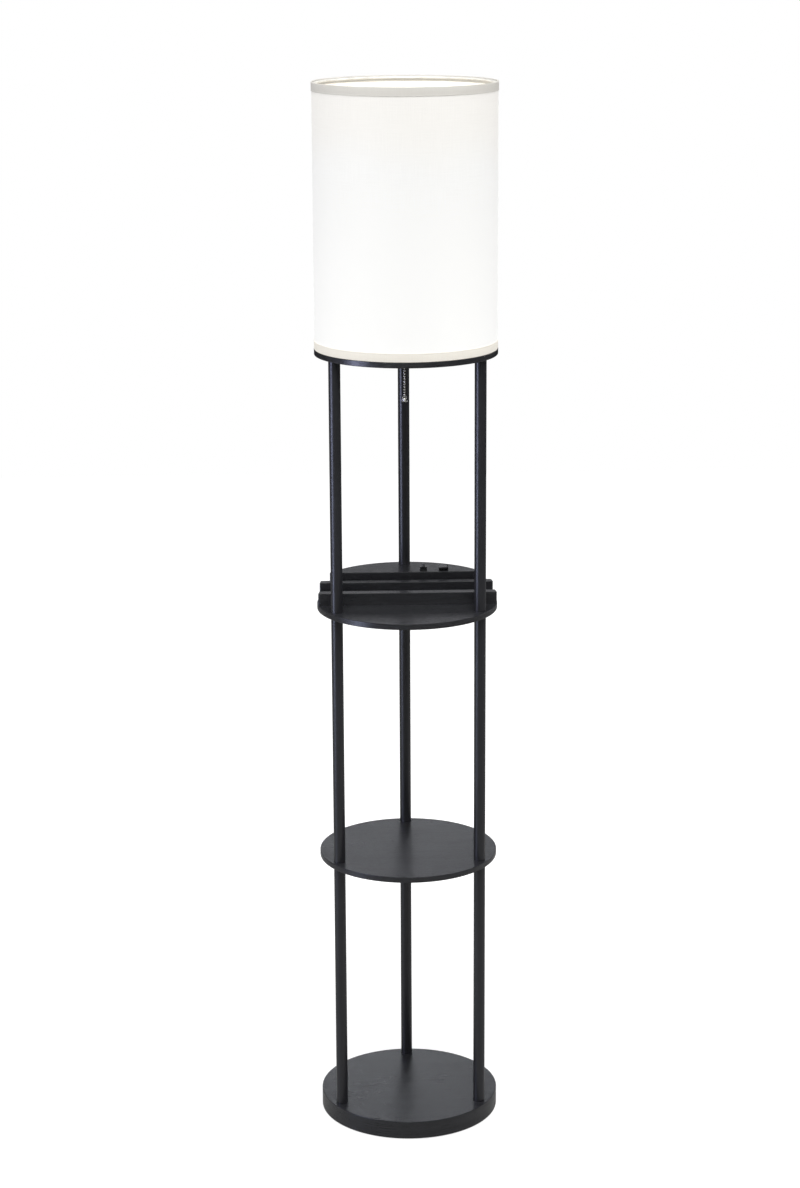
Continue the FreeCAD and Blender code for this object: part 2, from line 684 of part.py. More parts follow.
def charge_switch_body():
    """The push switch's body with its flanged head and its button's guide."""
    top = HOUSING_TOP + SWITCH_PROUD
    stem = switch_block(SWITCH_WIDTH, HOUSING_CEILING - SWITCH_BODY_DEPTH, top)
    flange = switch_block(SWITCH_FLANGE_WIDTH, top - SWITCH_FLANGE_THICKNESS, top)
    # a low step on the housing's top carries the body
    foot = switch_block(SWITCH_FLANGE_WIDTH, HOUSING_TOP, HOUSING_TOP + SWITCH_FLANGE_THICKNESS / 2)
    guide = cylinder(BUTTON_DIAMETER / 2 + BUTTON_CLEARANCE, top - BUTTON_GUIDED - SPRING_ROOM, top,
                     switch_centre())
    return stem.fuse([flange, foot]).cut(guide)


def charge_button():
    """The button, which travels down against its spring."""
    top = HOUSING_TOP + SWITCH_PROUD
    shape = cylinder(BUTTON_DIAMETER / 2, top - BUTTON_GUIDED, top + BUTTON_PROUD, switch_centre())
    crown = [edge for edge in shape.Edges if edge.BoundBox.ZMin > top + BUTTON_PROUD - 1e-6]
    return shape.makeFillet(BUTTON_DIAMETER / 6, crown)


def button_spring():
    """The coil spring under the button."""
    length = SPRING_ROOM - SPRING_END_GAP
    pitch = (length - SPRING_WIRE) / SPRING_TURNS
    radius = BUTTON_DIAMETER / 2 - BUTTON_CLEARANCE - SPRING_WIRE / 2
    spring = coil(radius, SPRING_WIRE, pitch, SPRING_TURNS)
    bottom = HOUSING_TOP + SWITCH_PROUD - BUTTON_GUIDED - SPRING_ROOM
    return spring.translated(switch_centre() + V(0, 0, bottom))


def gland_axis():
    """The direction that the mains cord leaves in."""
    return polar(1, GLAND_AZIMUTH)


def gland_point(radius):
    """A point on the gland's axis, halfway up the housing's room."""
    return polar(radius, GLAND_AZIMUTH, (CHARGING_SHELF_TOP + HOUSING_CEILING) / 2)


def gland_seat():
    """The hole and the flat spot face for the gland in the housing's rear wall."""
    face = LAMP_RADIUS - GLAND_SPOT_FACE_DEPTH
    hole = Part.makeCylinder(GLAND_DIAMETER / 2, 2 * GLAND_TAIL, gland_point(face - 2 * GLAND_TAIL),
                             gland_axis())
    spot = Part.makeCylinder(GLAND_FLANGE_DIAMETER / 2, GLAND_TAIL, gland_point(face), gland_axis())
    return [hole, spot]


def cord_gland():
    """The flanged bush that the mains cord enters by."""
    face = LAMP_RADIUS - GLAND_SPOT_FACE_DEPTH
    length = HOUSING_WALL + GLAND_TAIL
    barrel = Part.makeCylinder(GLAND_DIAMETER / 2, length, gland_point(face - length), gland_axis())
    flange = Part.makeCylinder(GLAND_FLANGE_DIAMETER / 2, GLAND_FLANGE_THICKNESS, gland_point(face),
                               gland_axis())
    bore = Part.makeCylinder(GLAND_BORE / 2, length + GLAND_FLANGE_THICKNESS, gland_point(face - length),
                             gland_axis())
    return barrel.fuse(flange).cut(bore)


def lamp_lead():
    """The lead from the charger, up the rear post and across the top plate to the lampholder."""
    start_y = transformer_ranges()[1][1]
    level = CHARGING_SHELF_TOP + LEAD_HEIGHT
    rest = TOP_PLATE_TOP + LEAD_DIAMETER / 2
    points = [V(0, start_y, level), V(0, POST_CIRCLE_RADIUS, level),
              V(0, POST_CIRCLE_RADIUS, TOP_PLATE_TOP + LEAD_LIFT),
              V(0, POST_CIRCLE_RADIUS - LEAD_TOUCHDOWN, rest), V(0, SOCKET_RADIUS + LEAD_RISE_RUN, rest),
              V(0, SOCKET_RADIUS - LEAD_END_DEPTH, TOP_PLATE_TOP + lead_entry_height())]
    return swept_round(rounded_path(points, LEAD_BENDS), LEAD_DIAMETER, points[0], V(0, 1, 0))


def lead_entry_height():
    """The height of the lead's hole in the socket cap."""
    return (SOCKET_CAP_SHOULDER + SOCKET_CAP_HEIGHT) / 2


# ---------------------------------------------------------------- top plate and lampholder
def top_plate():
    """The plate that the lampholder and the shade stand on."""
    board = round_board(TOP_PLATE_BOTTOM, TOP_PLATE_TOP)
    rear = post_centres("rear")[0]
    recess = cylinder(NUT_FLATS * HEXAGON_CORNER_REACH + NUT_RECESS_CLEARANCE,
                      TOP_PLATE_TOP - NUT_THICKNESS - NUT_RECESS_CLEARANCE, TOP_PLATE_TOP, rear)
    bores = [cylinder(NIPPLE_DIAMETER / 2, TOP_PLATE_BOTTOM, TOP_PLATE_TOP, centre)
             for centre in (rear, V(0, 0, 0))]
    cones = [head_cone(STUD_DIAMETER, TOP_SCREW_HEAD_DIAMETER, TOP_PLATE_TOP, -1, centre)
             for centre in post_centres("left", "right")]
    shanks = [cylinder(STUD_DIAMETER / 2, TOP_PLATE_BOTTOM, TOP_PLATE_TOP, centre)
              for centre in post_centres("left", "right")]
    eyelet = cylinder(EYELET_BORE / 2 + EYELET_WALL, TOP_PLATE_BOTTOM, TOP_PLATE_TOP, chain_point())
    return board.cut([recess, eyelet] + bores + cones + shanks)


def top_plate_screws():
    """Flush screws from above into the front posts."""
    return group([flat_head_screw(STUD_DIAMETER, TOP_SCREW_HEAD_DIAMETER,
                                  TOP_PLATE_THICKNESS + STUD_ENGAGEMENT, TOP_PLATE_TOP, -1, centre)
                  for centre in post_centres("left", "right")])


def nipple_places():
    """The lower end of the rear post's nipple and of the lampholder's."""
    return [(post_centres("rear")[0], TOP_PLATE_BOTTOM - NIPPLE_REACH),
            (V(0, 0, 0), TOP_PLATE_BOTTOM - NIPPLE_REACH + SOCKET_COLLAR_HEIGHT)]


def threaded_nipples():
    """Two alike hollow nipples, in the rear post and under the lampholder."""
    length = TOP_PLATE_THICKNESS + NIPPLE_REACH
    return group([tube(NIPPLE_DIAMETER / 2, NIPPLE_BORE / 2, bottom, bottom + length, centre)
                  for centre, bottom in nipple_places()])


def nipple_nuts():
    """The thin nuts of the two nipples."""
    nuts = []
    levels = (TOP_PLATE_TOP - NUT_THICKNESS - NUT_RECESS_CLEARANCE, TOP_PLATE_BOTTOM - NUT_THICKNESS)
    for (centre, _), bottom in zip(nipple_places(), levels):
        nut = hexagon(NUT_FLATS, bottom, bottom + NUT_THICKNESS, centre)
        nuts.append(nut.cut(cylinder(NIPPLE_DIAMETER / 2, bottom, bottom + NUT_THICKNESS, centre)))
    return group(nuts)


def socket_cap():
    """The lampholder's metal cap, threaded on its nipple."""
    bore = NIPPLE_DIAMETER / 2
    neck = SOCKET_CAP_NECK_DIAMETER / 2
    outer = SOCKET_RADIUS + SOCKET_WALL
    bulge_out = (outer - (outer - neck) * 0.3, SOCKET_CAP_SHOULDER * 0.3)
    bulge_in = (bulge_out[0] - SOCKET_WALL * 0.7, bulge_out[1] + SOCKET_WALL * 0.7)
    cap = revolved((bore, 0), (neck, 0), (bulge_out, (outer, SOCKET_CAP_SHOULDER)),
                   (outer, SOCKET_CAP_HEIGHT), (SOCKET_RADIUS, SOCKET_CAP_HEIGHT),
                   (SOCKET_RADIUS, SOCKET_CAP_SHOULDER), (bulge_in, (neck, SOCKET_WALL)),
                   (bore + SOCKET_COLLAR_WALL, SOCKET_WALL),
                   (bore + SOCKET_COLLAR_WALL, SOCKET_COLLAR_HEIGHT), (bore, SOCKET_COLLAR_HEIGHT),
                   z=TOP_PLATE_TOP)
    hole = Part.makeCylinder(LEAD_DIAMETER / 2 + LEAD_HOLE_CLEARANCE, SOCKET_RADIUS,
                             V(0, SOCKET_RADIUS / 2, TOP_PLATE_TOP + lead_entry_height()), V(0, 1, 0))
    return cap.cut(hole)


def lever_window(low_reach, high_reach, width):
    """The space that the lever sweeps, between two reaches from the lamp's axis."""
    middle = TOP_PLATE_TOP + LEVER_PIVOT_HEIGHT
    rise = PULL_TRAVEL / 2 + LEVER_THICKNESS + LEVER_SWEEP_CLEARANCE
    return turned_to(block((low_reach, high_reach), (-width / 2, width / 2), (middle - rise, middle + rise)),
                     CHAIN_AZIMUTH)


def socket_shell():
    """The lampholder's metal shell, with the bead that the shade's washer rests on."""
    bead_low = SOCKET_BEAD_HEIGHT - SOCKET_BEAD_SIZE
    shell = revolved((INSULATOR_RADIUS, SOCKET_SHELL_BOTTOM), (SOCKET_RADIUS, SOCKET_SHELL_BOTTOM),
                     (SOCKET_RADIUS, bead_low), (SOCKET_RADIUS + SOCKET_BEAD_SIZE, bead_low),
                     (SOCKET_RADIUS + SOCKET_BEAD_SIZE, SOCKET_BEAD_HEIGHT),
                     (SOCKET_RADIUS, SOCKET_BEAD_HEIGHT), (SOCKET_RADIUS, SOCKET_SHELL_TOP),
                     (INSULATOR_RADIUS, SOCKET_SHELL_TOP), z=TOP_PLATE_TOP)
    lead_hole = Part.makeCylinder(LEAD_DIAMETER / 2 + LEAD_HOLE_CLEARANCE, SOCKET_RADIUS,
                                  V(0, SOCKET_RADIUS / 2, TOP_PLATE_TOP + lead_entry_height()), V(0, 1, 0))
    window = lever_window(SOCKET_RADIUS / 2, SOCKET_RADIUS + LEVER_WINDOW_OVERRUN,
                          HOOD_BORE - 2 * LEVER_WINDOW_INSET)
    return shell.cut([lead_hole, window])


def lever_pin_solid(radius, length):
    """A cylinder along the lever's pivot axis."""
    start = V(LEVER_PIVOT_REACH, -length / 2, TOP_PLATE_TOP + LEVER_PIVOT_HEIGHT)
    pin = Part.makeCylinder(radius, length, start, V(0, 1, 0))
    return turned_to(pin, CHAIN_AZIMUTH)


def pocket_width():
    """The pocket leaves room beside the lever for its spring."""
    return LEVER_WIDTH + 2 * LEVER_POCKET_CLEARANCE


def lever_pin_length():
    """The pin bears on both sides of the pocket."""
    return pocket_width() + 2 * LEVER_PIN_BEARING


def socket_insulator():
    """The insulating body that holds the switch, with the sleeve round the screw shell."""
    sleeve = INSULATOR_RADIUS - INSULATOR_SLEEVE_WALL
    body = revolved((0, INSULATOR_BOTTOM), (INSULATOR_RADIUS, INSULATOR_BOTTOM),
                    (INSULATOR_RADIUS, SCREW_SHELL_TOP + 1), (sleeve, SCREW_SHELL_TOP + 1),
                    (sleeve, INSULATOR_TOP), (0, INSULATOR_TOP), z=TOP_PLATE_TOP)
    back = LEVER_PIVOT_REACH - LEVER_HUB_DIAMETER / 2 - LEVER_SWEEP_CLEARANCE
    pocket = lever_window(back, SOCKET_RADIUS, pocket_width())
    wire_bore = Part.makeCylinder(LEAD_DIAMETER / 2 + LEAD_HOLE_CLEARANCE, INSULATOR_WIRE_BORE,
                                  V(0, INSULATOR_RADIUS - INSULATOR_WIRE_BORE,
                                    TOP_PLATE_TOP + lead_entry_height()), V(0, 1, 0))
    return body.cut([pocket, wire_bore, lever_pin_solid(LEVER_PIN_DIAMETER / 2, lever_pin_length())])


def socket_screw_shell():
    """The brass shell that takes the bulb's cap."""
    floor = CONTACT_DIAMETER / 2 + CONTACT_CLEARANCE
    outer = SCREW_SHELL_BORE_RADIUS + SCREW_SHELL_WALL
    return revolved((floor, INSULATOR_TOP), (outer, INSULATOR_TOP), (outer, SCREW_SHELL_TOP),
                    (SCREW_SHELL_BORE_RADIUS, SCREW_SHELL_TOP),
                    (SCREW_SHELL_BORE_RADIUS, INSULATOR_TOP + SCREW_SHELL_WALL),
                    (floor, INSULATOR_TOP + SCREW_SHELL_WALL), z=TOP_PLATE_TOP)


def socket_contact():
    """The sprung centre contact."""
    low = TOP_PLATE_TOP + INSULATOR_TOP
    return cylinder(CONTACT_DIAMETER / 2, low, low + CONTACT_HEIGHT)


# ---------------------------------------------------------------- pull switch and chain
def chain_point(z=0.0):
    """A point on the chain's vertical line."""
    return polar(CHAIN_REACH, CHAIN_AZIMUTH, z)


def hood_form(radius, low_reach, bottom, top):
    """An upright cylinder round the chain, joined to the lampholder by a block."""
    round_end = cylinder(radius, bottom, top, V(CHAIN_REACH, 0, 0))
    bridge = block((low_reach, CHAIN_REACH), (-radius, radius), (bottom, top))
    return round_end.fuse(bridge)


def chain_hood():
    """The hood on the lampholder's side that the chain hangs from, open below."""
    bottom = TOP_PLATE_TOP + HOOD_BOTTOM
    top = TOP_PLATE_TOP + HOOD_TOP
    outer = hood_form(HOOD_BORE / 2 + HOOD_WALL, SOCKET_RADIUS / 2, bottom, top)
    inner = hood_form(HOOD_BORE / 2, SOCKET_RADIUS / 2, bottom, top - HOOD_WALL)
    hood = turned_to(outer.cut(inner), CHAIN_AZIMUTH)
    return hood.cut(cylinder(SOCKET_RADIUS, bottom, top))


def switch_lever():
    """The lever that the chain tips, drawn at rest."""
    hub = Part.makeCylinder(LEVER_HUB_DIAMETER / 2, LEVER_WIDTH, V(0, -LEVER_WIDTH / 2, 0), V(0, 1, 0))
    reach = LEVER_ARM + LEVER_OVERHANG
    arm = block((0, reach), (-LEVER_WIDTH / 2, LEVER_WIDTH / 2), (-LEVER_THICKNESS / 2, LEVER_THICKNESS / 2))
    fork = block((reach - LEVER_FORK_DEPTH, reach), (-LEVER_FORK_WIDTH / 2, LEVER_FORK_WIDTH / 2),
                 (-LEVER_THICKNESS, LEVER_THICKNESS))
    bore = Part.makeCylinder(LEVER_PIN_DIAMETER / 2 + LEVER_PIN_CLEARANCE, LEVER_WIDTH,
                             V(0, -LEVER_WIDTH / 2, 0), V(0, 1, 0))
    lever = hub.fuse(arm).cut([fork, bore]).rotated(V(0, 0, 0), V(0, 1, 0), -LEVER_TILT)
    lever.translate(V(LEVER_PIVOT_REACH, 0, TOP_PLATE_TOP + LEVER_PIVOT_HEIGHT))
    return turned_to(lever, CHAIN_AZIMUTH)


def lever_pin():
    """The lever's pivot pin."""
    return lever_pin_solid(LEVER_PIN_DIAMETER / 2, lever_pin_length())


def lever_spring():
    """The spring round the pin, beside the lever."""
    room = LEVER_POCKET_CLEARANCE - 2 * LEVER_SPRING_GAP
    pitch = (room - LEVER_SPRING_WIRE) / LEVER_SPRING_TURNS
    radius = LEVER_PIN_DIAMETER / 2 + LEVER_SPRING_GAP + LEVER_SPRING_WIRE / 2
    spring = coil(radius, LEVER_SPRING_WIRE, pitch, LEVER_SPRING_TURNS)
    spring.rotate(V(0, 0, 0), V(1, 0, 0), -90)
    spring.translate(V(LEVER_PIVOT_REACH, LEVER_WIDTH / 2 + LEVER_SPRING_GAP,
                       TOP_PLATE_TOP + LEVER_PIVOT_HEIGHT))
    return turned_to(spring, CHAIN_AZIMUTH)


def chain_run(heights, link_bottom, link_top):
    """Beads at the given heights on one link wire."""
    link = cylinder(LINK_DIAMETER / 2, link_bottom, link_top, chain_point())
    return link.fuse([Part.makeSphere(BEAD_DIAMETER / 2, chain_point(z)) for z in heights])


def pull_chain_upper():
    """The chain from the lever's fork down through the top plate."""
    half_gap = CHAIN_FORK_GAP / 2 + BEAD_DIAMETER / 2
    top = CHAIN_HOOK_Z - half_gap
    bottom = SWIVEL_Z + BEAD_PITCH
    count = round((top - bottom) / BEAD_PITCH)
    pitch = (top - bottom) / count
    heights = [CHAIN_HOOK_Z + half_gap] + [top - pitch * index for index in range(count + 1)]
    return chain_run(heights, SWIVEL_Z + BEAD_DIAMETER / 2 + SWIVEL_GAP, heights[0])


def pull_chain_swivel_bead():
    """The bead just below the eyelet, at which the hanging end swings."""
    return Part.makeSphere(BEAD_DIAMETER / 2, chain_point(SWIVEL_Z))


def pull_chain_lower():
    """The hanging end of the chain, down into the bell."""
    top = SWIVEL_Z - BEAD_PITCH
    bottom = BELL_BOTTOM + BELL_HEIGHT + BEAD_DIAMETER / 2
    count = round((top - bottom) / BEAD_PITCH)
    pitch = (top - bottom) / count
    heights = [top - pitch * index for index in range(count + 1)]
    return chain_run(heights, BELL_BOTTOM + BELL_HEIGHT, SWIVEL_Z - BEAD_DIAMETER / 2 - SWIVEL_GAP)


def bell_pull():
    """The bell-shaped grip at the chain's end."""
    neck = BELL_NECK_DIAMETER / 2
    mouth = BELL_DIAMETER / 2
    bell = revolved((0, BELL_RECESS_DEPTH), (mouth - BELL_RIM, 0), (mouth, 0), (mouth, BELL_HEIGHT * 0.15),
                    ((mouth * 0.86, BELL_HEIGHT * 0.55), (neck, BELL_HEIGHT * 0.88)), (neck, BELL_HEIGHT),
                    (0, BELL_HEIGHT), z=BELL_BOTTOM)
    return bell.translated(chain_point())


def chain_eyelet():
    """The flanged bush that lines the chain's hole in the top plate."""
    bore = EYELET_BORE / 2
    body = bore + EYELET_WALL
    flange = body + EYELET_FLANGE
    low = TOP_PLATE_BOTTOM
    high = TOP_PLATE_TOP
    eyelet = revolved((bore, low - EYELET_WALL), (flange, low - EYELET_WALL), (flange, low), (body, low),
                      (body, high), (flange, high), (flange, high + EYELET_WALL), (bore, high + EYELET_WALL))
    return eyelet.translated(chain_point())


# ---------------------------------------------------------------- bulb
def bulb_screw_cap():
    """The bulb's threaded metal cap with its centre tip."""
    tip = BULB_TIP_DIAMETER / 2
    root = BULB_CAP_DIAMETER / 2 - THREAD_DEPTH
    crest = BULB_CAP_DIAMETER / 2
    thread_low = BULB_CAP_LENGTH * 0.28
    pitch = (BULB_CAP_LENGTH - thread_low) / THREAD_RINGS
    steps = [(tip, 0), (tip * 1.1, BULB_CAP_LENGTH * 0.08), (root, thread_low)]
    for ring in range(THREAD_RINGS):
        low = thread_low + ring * pitch
        steps.append(((crest, low + pitch / 2), (root, low + pitch)))
    steps.append((0, BULB_CAP_LENGTH))
    return revolved((0, 0), *steps, z=BULB_TIP_Z)


def bulb_housing():
    """The bulb's flared body."""
    low = BULB_CAP_LENGTH
    high = low + BULB_HOUSING_LENGTH
    neck = BULB_NECK_DIAMETER / 2
    rim = BULB_DIAMETER / 2 - BULB_WALL
    middle = (neck + (rim - neck) * 0.42, low + BULB_HOUSING_LENGTH * 0.5)
    inner_middle = (middle[0] - BULB_WALL, middle[1] + BULB_WALL * 0.6)
    ledge = high - BULB_BOARD_THICKNESS
    return revolved((0, low), (neck, low), (middle, (rim, high)), (rim - BULB_WALL, high),
                    (rim - BULB_WALL, ledge), (rim - 2 * BULB_WALL, ledge),
                    (inner_middle, (neck - BULB_WALL, low + 2 * BULB_WALL)), (0, low + 2 * BULB_WALL),
                    z=BULB_TIP_Z)


def bulb_led_board():
    """The light source's round board on the housing's ledge."""
    top = BULB_TIP_Z + BULB_CAP_LENGTH + BULB_HOUSING_LENGTH
    return cylinder(BULB_DIAMETER / 2 - 2 * BULB_WALL, top - BULB_BOARD_THICKNESS, top)


def bulb_dome():
    """The bulb's frosted dome."""
    low = BULB_CAP_LENGTH + BULB_HOUSING_LENGTH
    foot = BULB_DIAMETER / 2 - BULB_WALL
    outer = BULB_DIAMETER / 2
    waist = BULB_LENGTH - outer
    crown_out = (outer * math.sqrt(0.5), waist + outer * math.sqrt(0.5))
    crown_in = ((outer - BULB_WALL) * math.sqrt(0.5), waist + (outer - BULB_WALL) * math.sqrt(0.5))
    flank = (outer - BULB_WALL * 0.3, (low + waist) / 2)
    return revolved((foot - BULB_WALL, low), (foot, low), (flank, (outer, waist)),
                    (crown_out, (0, BULB_LENGTH)), (0, BULB_LENGTH - BULB_WALL),
                    (crown_in, (outer - BULB_WALL, waist)),
                    ((flank[0] - BULB_WALL, flank[1]), (foot - BULB_WALL, low)), z=BULB_TIP_Z)


# ---------------------------------------------------------------- shade
def shade_drum():
    """The drum of fabric on its stiff liner."""
    return tube(SHADE_RADIUS, SHADE_BORE_RADIUS, TOP_PLATE_TOP + TRIM_THICKNESS, SHADE_TOP - TRIM_THICKNESS)


def shade_trim(edge_z, inward):
    """A band folded over one end of the drum; inward is 1 where the drum lies above it."""
    outer = SHADE_RADIUS + TRIM_THICKNESS
    inner = SHADE_BORE_RADIUS - TRIM_THICKNESS
    lip = TRIM_THICKNESS * inward
    return revolved((outer, 0), (outer, TRIM_HEIGHT * inward), (SHADE_RADIUS, TRIM_HEIGHT * inward),
                    (SHADE_RADIUS, lip), (SHADE_BORE_RADIUS, lip),
                    (SHADE_BORE_RADIUS, TRIM_INNER_HEIGHT * inward), (inner, TRIM_INNER_HEIGHT * inward),
                    (inner, 0), z=edge_z)


def frame_ring(z):
    """A wire ring just inside a trim band."""
    return Part.makeTorus(FRAME_RADIUS, FRAME_WIRE / 2, V(0, 0, z))


def shade_top_ring():
    """The wire ring at the top of the shade."""
    return frame_ring(SHADE_TOP - FRAME_WIRE)


def shade_bottom_frame():
    """The lower wire ring with three arms and the washer that grips the lampholder."""
    ring_z = TOP_PLATE_TOP + FRAME_WIRE
    seat = TOP_PLATE_TOP + SOCKET_BEAD_HEIGHT
    bore = SOCKET_RADIUS + WASHER_CLEARANCE
    washer = tube(WASHER_OUTER_DIAMETER / 2, bore, seat, seat + WASHER_THICKNESS)
    start = V(FRAME_RADIUS, 0, ring_z)
    end = V((bore + WASHER_OUTER_DIAMETER / 2) / 2, 0, seat - FRAME_WIRE * 0.3)
    arm = Part.makeCylinder(FRAME_WIRE / 2, (end - start).Length, start, end - start)
    arms = [turned_to(arm, azimuth) for azimuth in FRAME_ARM_AZIMUTHS]
    frame = frame_ring(ring_z).fuse(arms + [washer])
    return frame.cut(cylinder(bore, TOP_PLATE_TOP, SHADE_TOP))


def shade_ring_nut():
    """The threaded ring that clamps the washer."""
    low = TOP_PLATE_TOP + SOCKET_BEAD_HEIGHT + WASHER_THICKNESS
    ring = tube(RING_NUT_DIAMETER / 2, SOCKET_RADIUS, low, low + RING_NUT_HEIGHT)
    grip = [cylinder(1.0, low + 1, low + RING_NUT_HEIGHT, polar(RING_NUT_DIAMETER / 2 + 0.4, 15 * notch))
            for notch in range(24)]
    return ring.cut(grip)


# ---------------------------------------------------------------- all nodes
NODES = {
    "base_disc": base_disc,
    "base_ballast": base_ballast,
    "base_pad": base_pad,
    "base_screws": base_screws,
    "middle_shelf": middle_shelf,
    "charging_shelf": charging_shelf,
    "top_plate": top_plate,
    "post_end_plugs": post_end_plugs,
    "lead_post_plug": lead_post_plug,
    "shelf_studs": shelf_studs,
    "top_plate_screws": top_plate_screws,
    "threaded_nipples": threaded_nipples,
    "nipple_nuts": nipple_nuts,
    "front_rack_bar": lambda: rack_bar(FRONT_BAR_FRONT, FRONT_BAR_LENGTH, FRONT_BAR_DEPTH,
                                       FRONT_BAR_HEIGHT),
    "middle_rack_bar": lambda: rack_bar(MIDDLE_BAR_FRONT, MIDDLE_BAR_LENGTH, MIDDLE_BAR_DEPTH,
                                        MIDDLE_BAR_HEIGHT),
    "rack_screws": rack_screws,
    "charger_housing": charger_housing,
    "housing_screws": housing_screws,
    "charger_board": charger_board,
    "charger_transformer": charger_transformer,
    "usb_port_shell": usb_port_shell,
    "usb_port_tongue": usb_port_tongue,
    "charge_switch_body": charge_switch_body,
    "charge_button": charge_button,
    "button_spring": button_spring,
    "cord_gland": cord_gland,
    "lamp_lead": lamp_lead,
    "socket_cap": socket_cap,
    "socket_shell": socket_shell,
    "socket_insulator": socket_insulator,
    "socket_screw_shell": socket_screw_shell,
    "socket_contact": socket_contact,
    "chain_hood": chain_hood,
    "switch_lever": switch_lever,
    "lever_pin": lever_pin,
    "lever_spring": lever_spring,
    "pull_chain_upper": pull_chain_upper,
    "pull_chain_swivel_bead": pull_chain_swivel_bead,
    "pull_chain_lower": pull_chain_lower,
    "bell_pull": bell_pull,
    "chain_eyelet": chain_eyelet,
    "bulb_screw_cap": bulb_screw_cap,
    "bulb_housing": bulb_housing,
    "bulb_led_board": bulb_led_board,
    "bulb_dome": bulb_dome,
    "shade_drum": shade_drum,
    "shade_top_trim": lambda: shade_trim(SHADE_TOP, -1),
    "shade_bottom_trim": lambda: shade_trim(TOP_PLATE_TOP, 1),
    "shade_top_ring": shade_top_ring,
    "shade_bottom_frame": shade_bottom_frame,
    "shade_ring_nut": shade_ring_nut,
}

for tier in TIERS:
    for side in POST_AZIMUTHS:
        post(tier, side).exportStep("parts/post_%s_%s.step" % (tier, side))

for name, make in NODES.items():
    make().exportStep("parts/%s.step" % name)
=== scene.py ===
"""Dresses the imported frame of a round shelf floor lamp.

Metres. +Z is up, the origin is on the floor under the lamp's centre, and the front faces -Y.
The boards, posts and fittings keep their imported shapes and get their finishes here. The shade's cloth,
liner and trims, the ball chain, the bell, the port's contacts, the button's spring, the felt and the
lead are made here.
"""

from __future__ import annotations

import json
import logging
import math
from dataclasses import dataclass
from enum import Enum
from typing import Callable, Sequence

import bpy
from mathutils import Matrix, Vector, noise

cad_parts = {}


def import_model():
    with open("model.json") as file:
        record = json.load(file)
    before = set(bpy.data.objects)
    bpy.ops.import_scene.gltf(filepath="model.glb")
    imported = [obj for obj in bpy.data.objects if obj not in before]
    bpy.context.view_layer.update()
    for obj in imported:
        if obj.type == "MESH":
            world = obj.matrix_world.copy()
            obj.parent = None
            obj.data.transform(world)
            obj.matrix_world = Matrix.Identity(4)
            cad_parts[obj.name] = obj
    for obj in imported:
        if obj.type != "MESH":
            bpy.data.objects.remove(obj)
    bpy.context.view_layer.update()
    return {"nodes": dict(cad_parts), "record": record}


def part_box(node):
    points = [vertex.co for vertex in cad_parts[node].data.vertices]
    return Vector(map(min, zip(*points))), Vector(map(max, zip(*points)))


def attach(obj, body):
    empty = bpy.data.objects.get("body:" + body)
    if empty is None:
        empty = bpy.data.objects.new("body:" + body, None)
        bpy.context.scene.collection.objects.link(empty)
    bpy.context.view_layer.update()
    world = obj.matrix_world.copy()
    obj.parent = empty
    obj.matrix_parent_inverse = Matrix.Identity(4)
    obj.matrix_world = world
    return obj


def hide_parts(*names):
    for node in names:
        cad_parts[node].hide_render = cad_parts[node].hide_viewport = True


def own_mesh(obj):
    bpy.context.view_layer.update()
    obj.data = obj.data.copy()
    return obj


LOG = logging.getLogger("shelf_lamp")

Colour = tuple[float, float, float]
Point = tuple[float, float, float]
Outline = list[tuple[float, float]]
MM = 0.001


class Body(str, Enum):
    """The bodies that the pieces ride on."""

    LAMP = "lamp"
    PULL_CHAIN = "pull_chain"
    SWIVEL = "chain_swivel"
    DROP = "chain_drop"


class Reach(Enum):
    """What a studio lamp lights: the matt part of a surface, or its gloss."""

    MATT = (True, False)
    GLOSS = (False, True)


# ---------------------------------------------------------------- node trees
class Nodes:
    """A node tree of any kind that nodes are added to."""

    def __init__(self, tree: bpy.types.NodeTree) -> None:
        """Empties the tree.

        Args:
            tree: The tree.
        """
        self.tree = tree
        self.tree.nodes.clear()

    def add(self, kind: str, inputs: dict | None = None, **settings: object) -> bpy.types.Node:
        """Adds a node.

        Args:
            kind: The node's type.
            inputs: A value or an output socket for each named or numbered input.
            **settings: The node's own properties.

        Returns:
            The new node.
        """
        node = self.tree.nodes.new(kind)
        for key, value in settings.items():
            setattr(node, key, value)
        for key, value in (inputs or {}).items():
            if isinstance(value, bpy.types.NodeSocket):
                self.tree.links.new(value, node.inputs[key])
            else:
                node.inputs[key].default_value = value
        return node

    def math(self, operation: str, a: object, b: object = 0.0) -> bpy.types.NodeSocket:
        """One step of arithmetic on numbers or sockets."""
        return self.add("ShaderNodeMath", {0: a, 1: b}, operation=operation).outputs[0]

    def times(self, a: object, b: object) -> bpy.types.NodeSocket:
        """The product of two numbers or sockets."""
        return self.math("MULTIPLY", a, b)


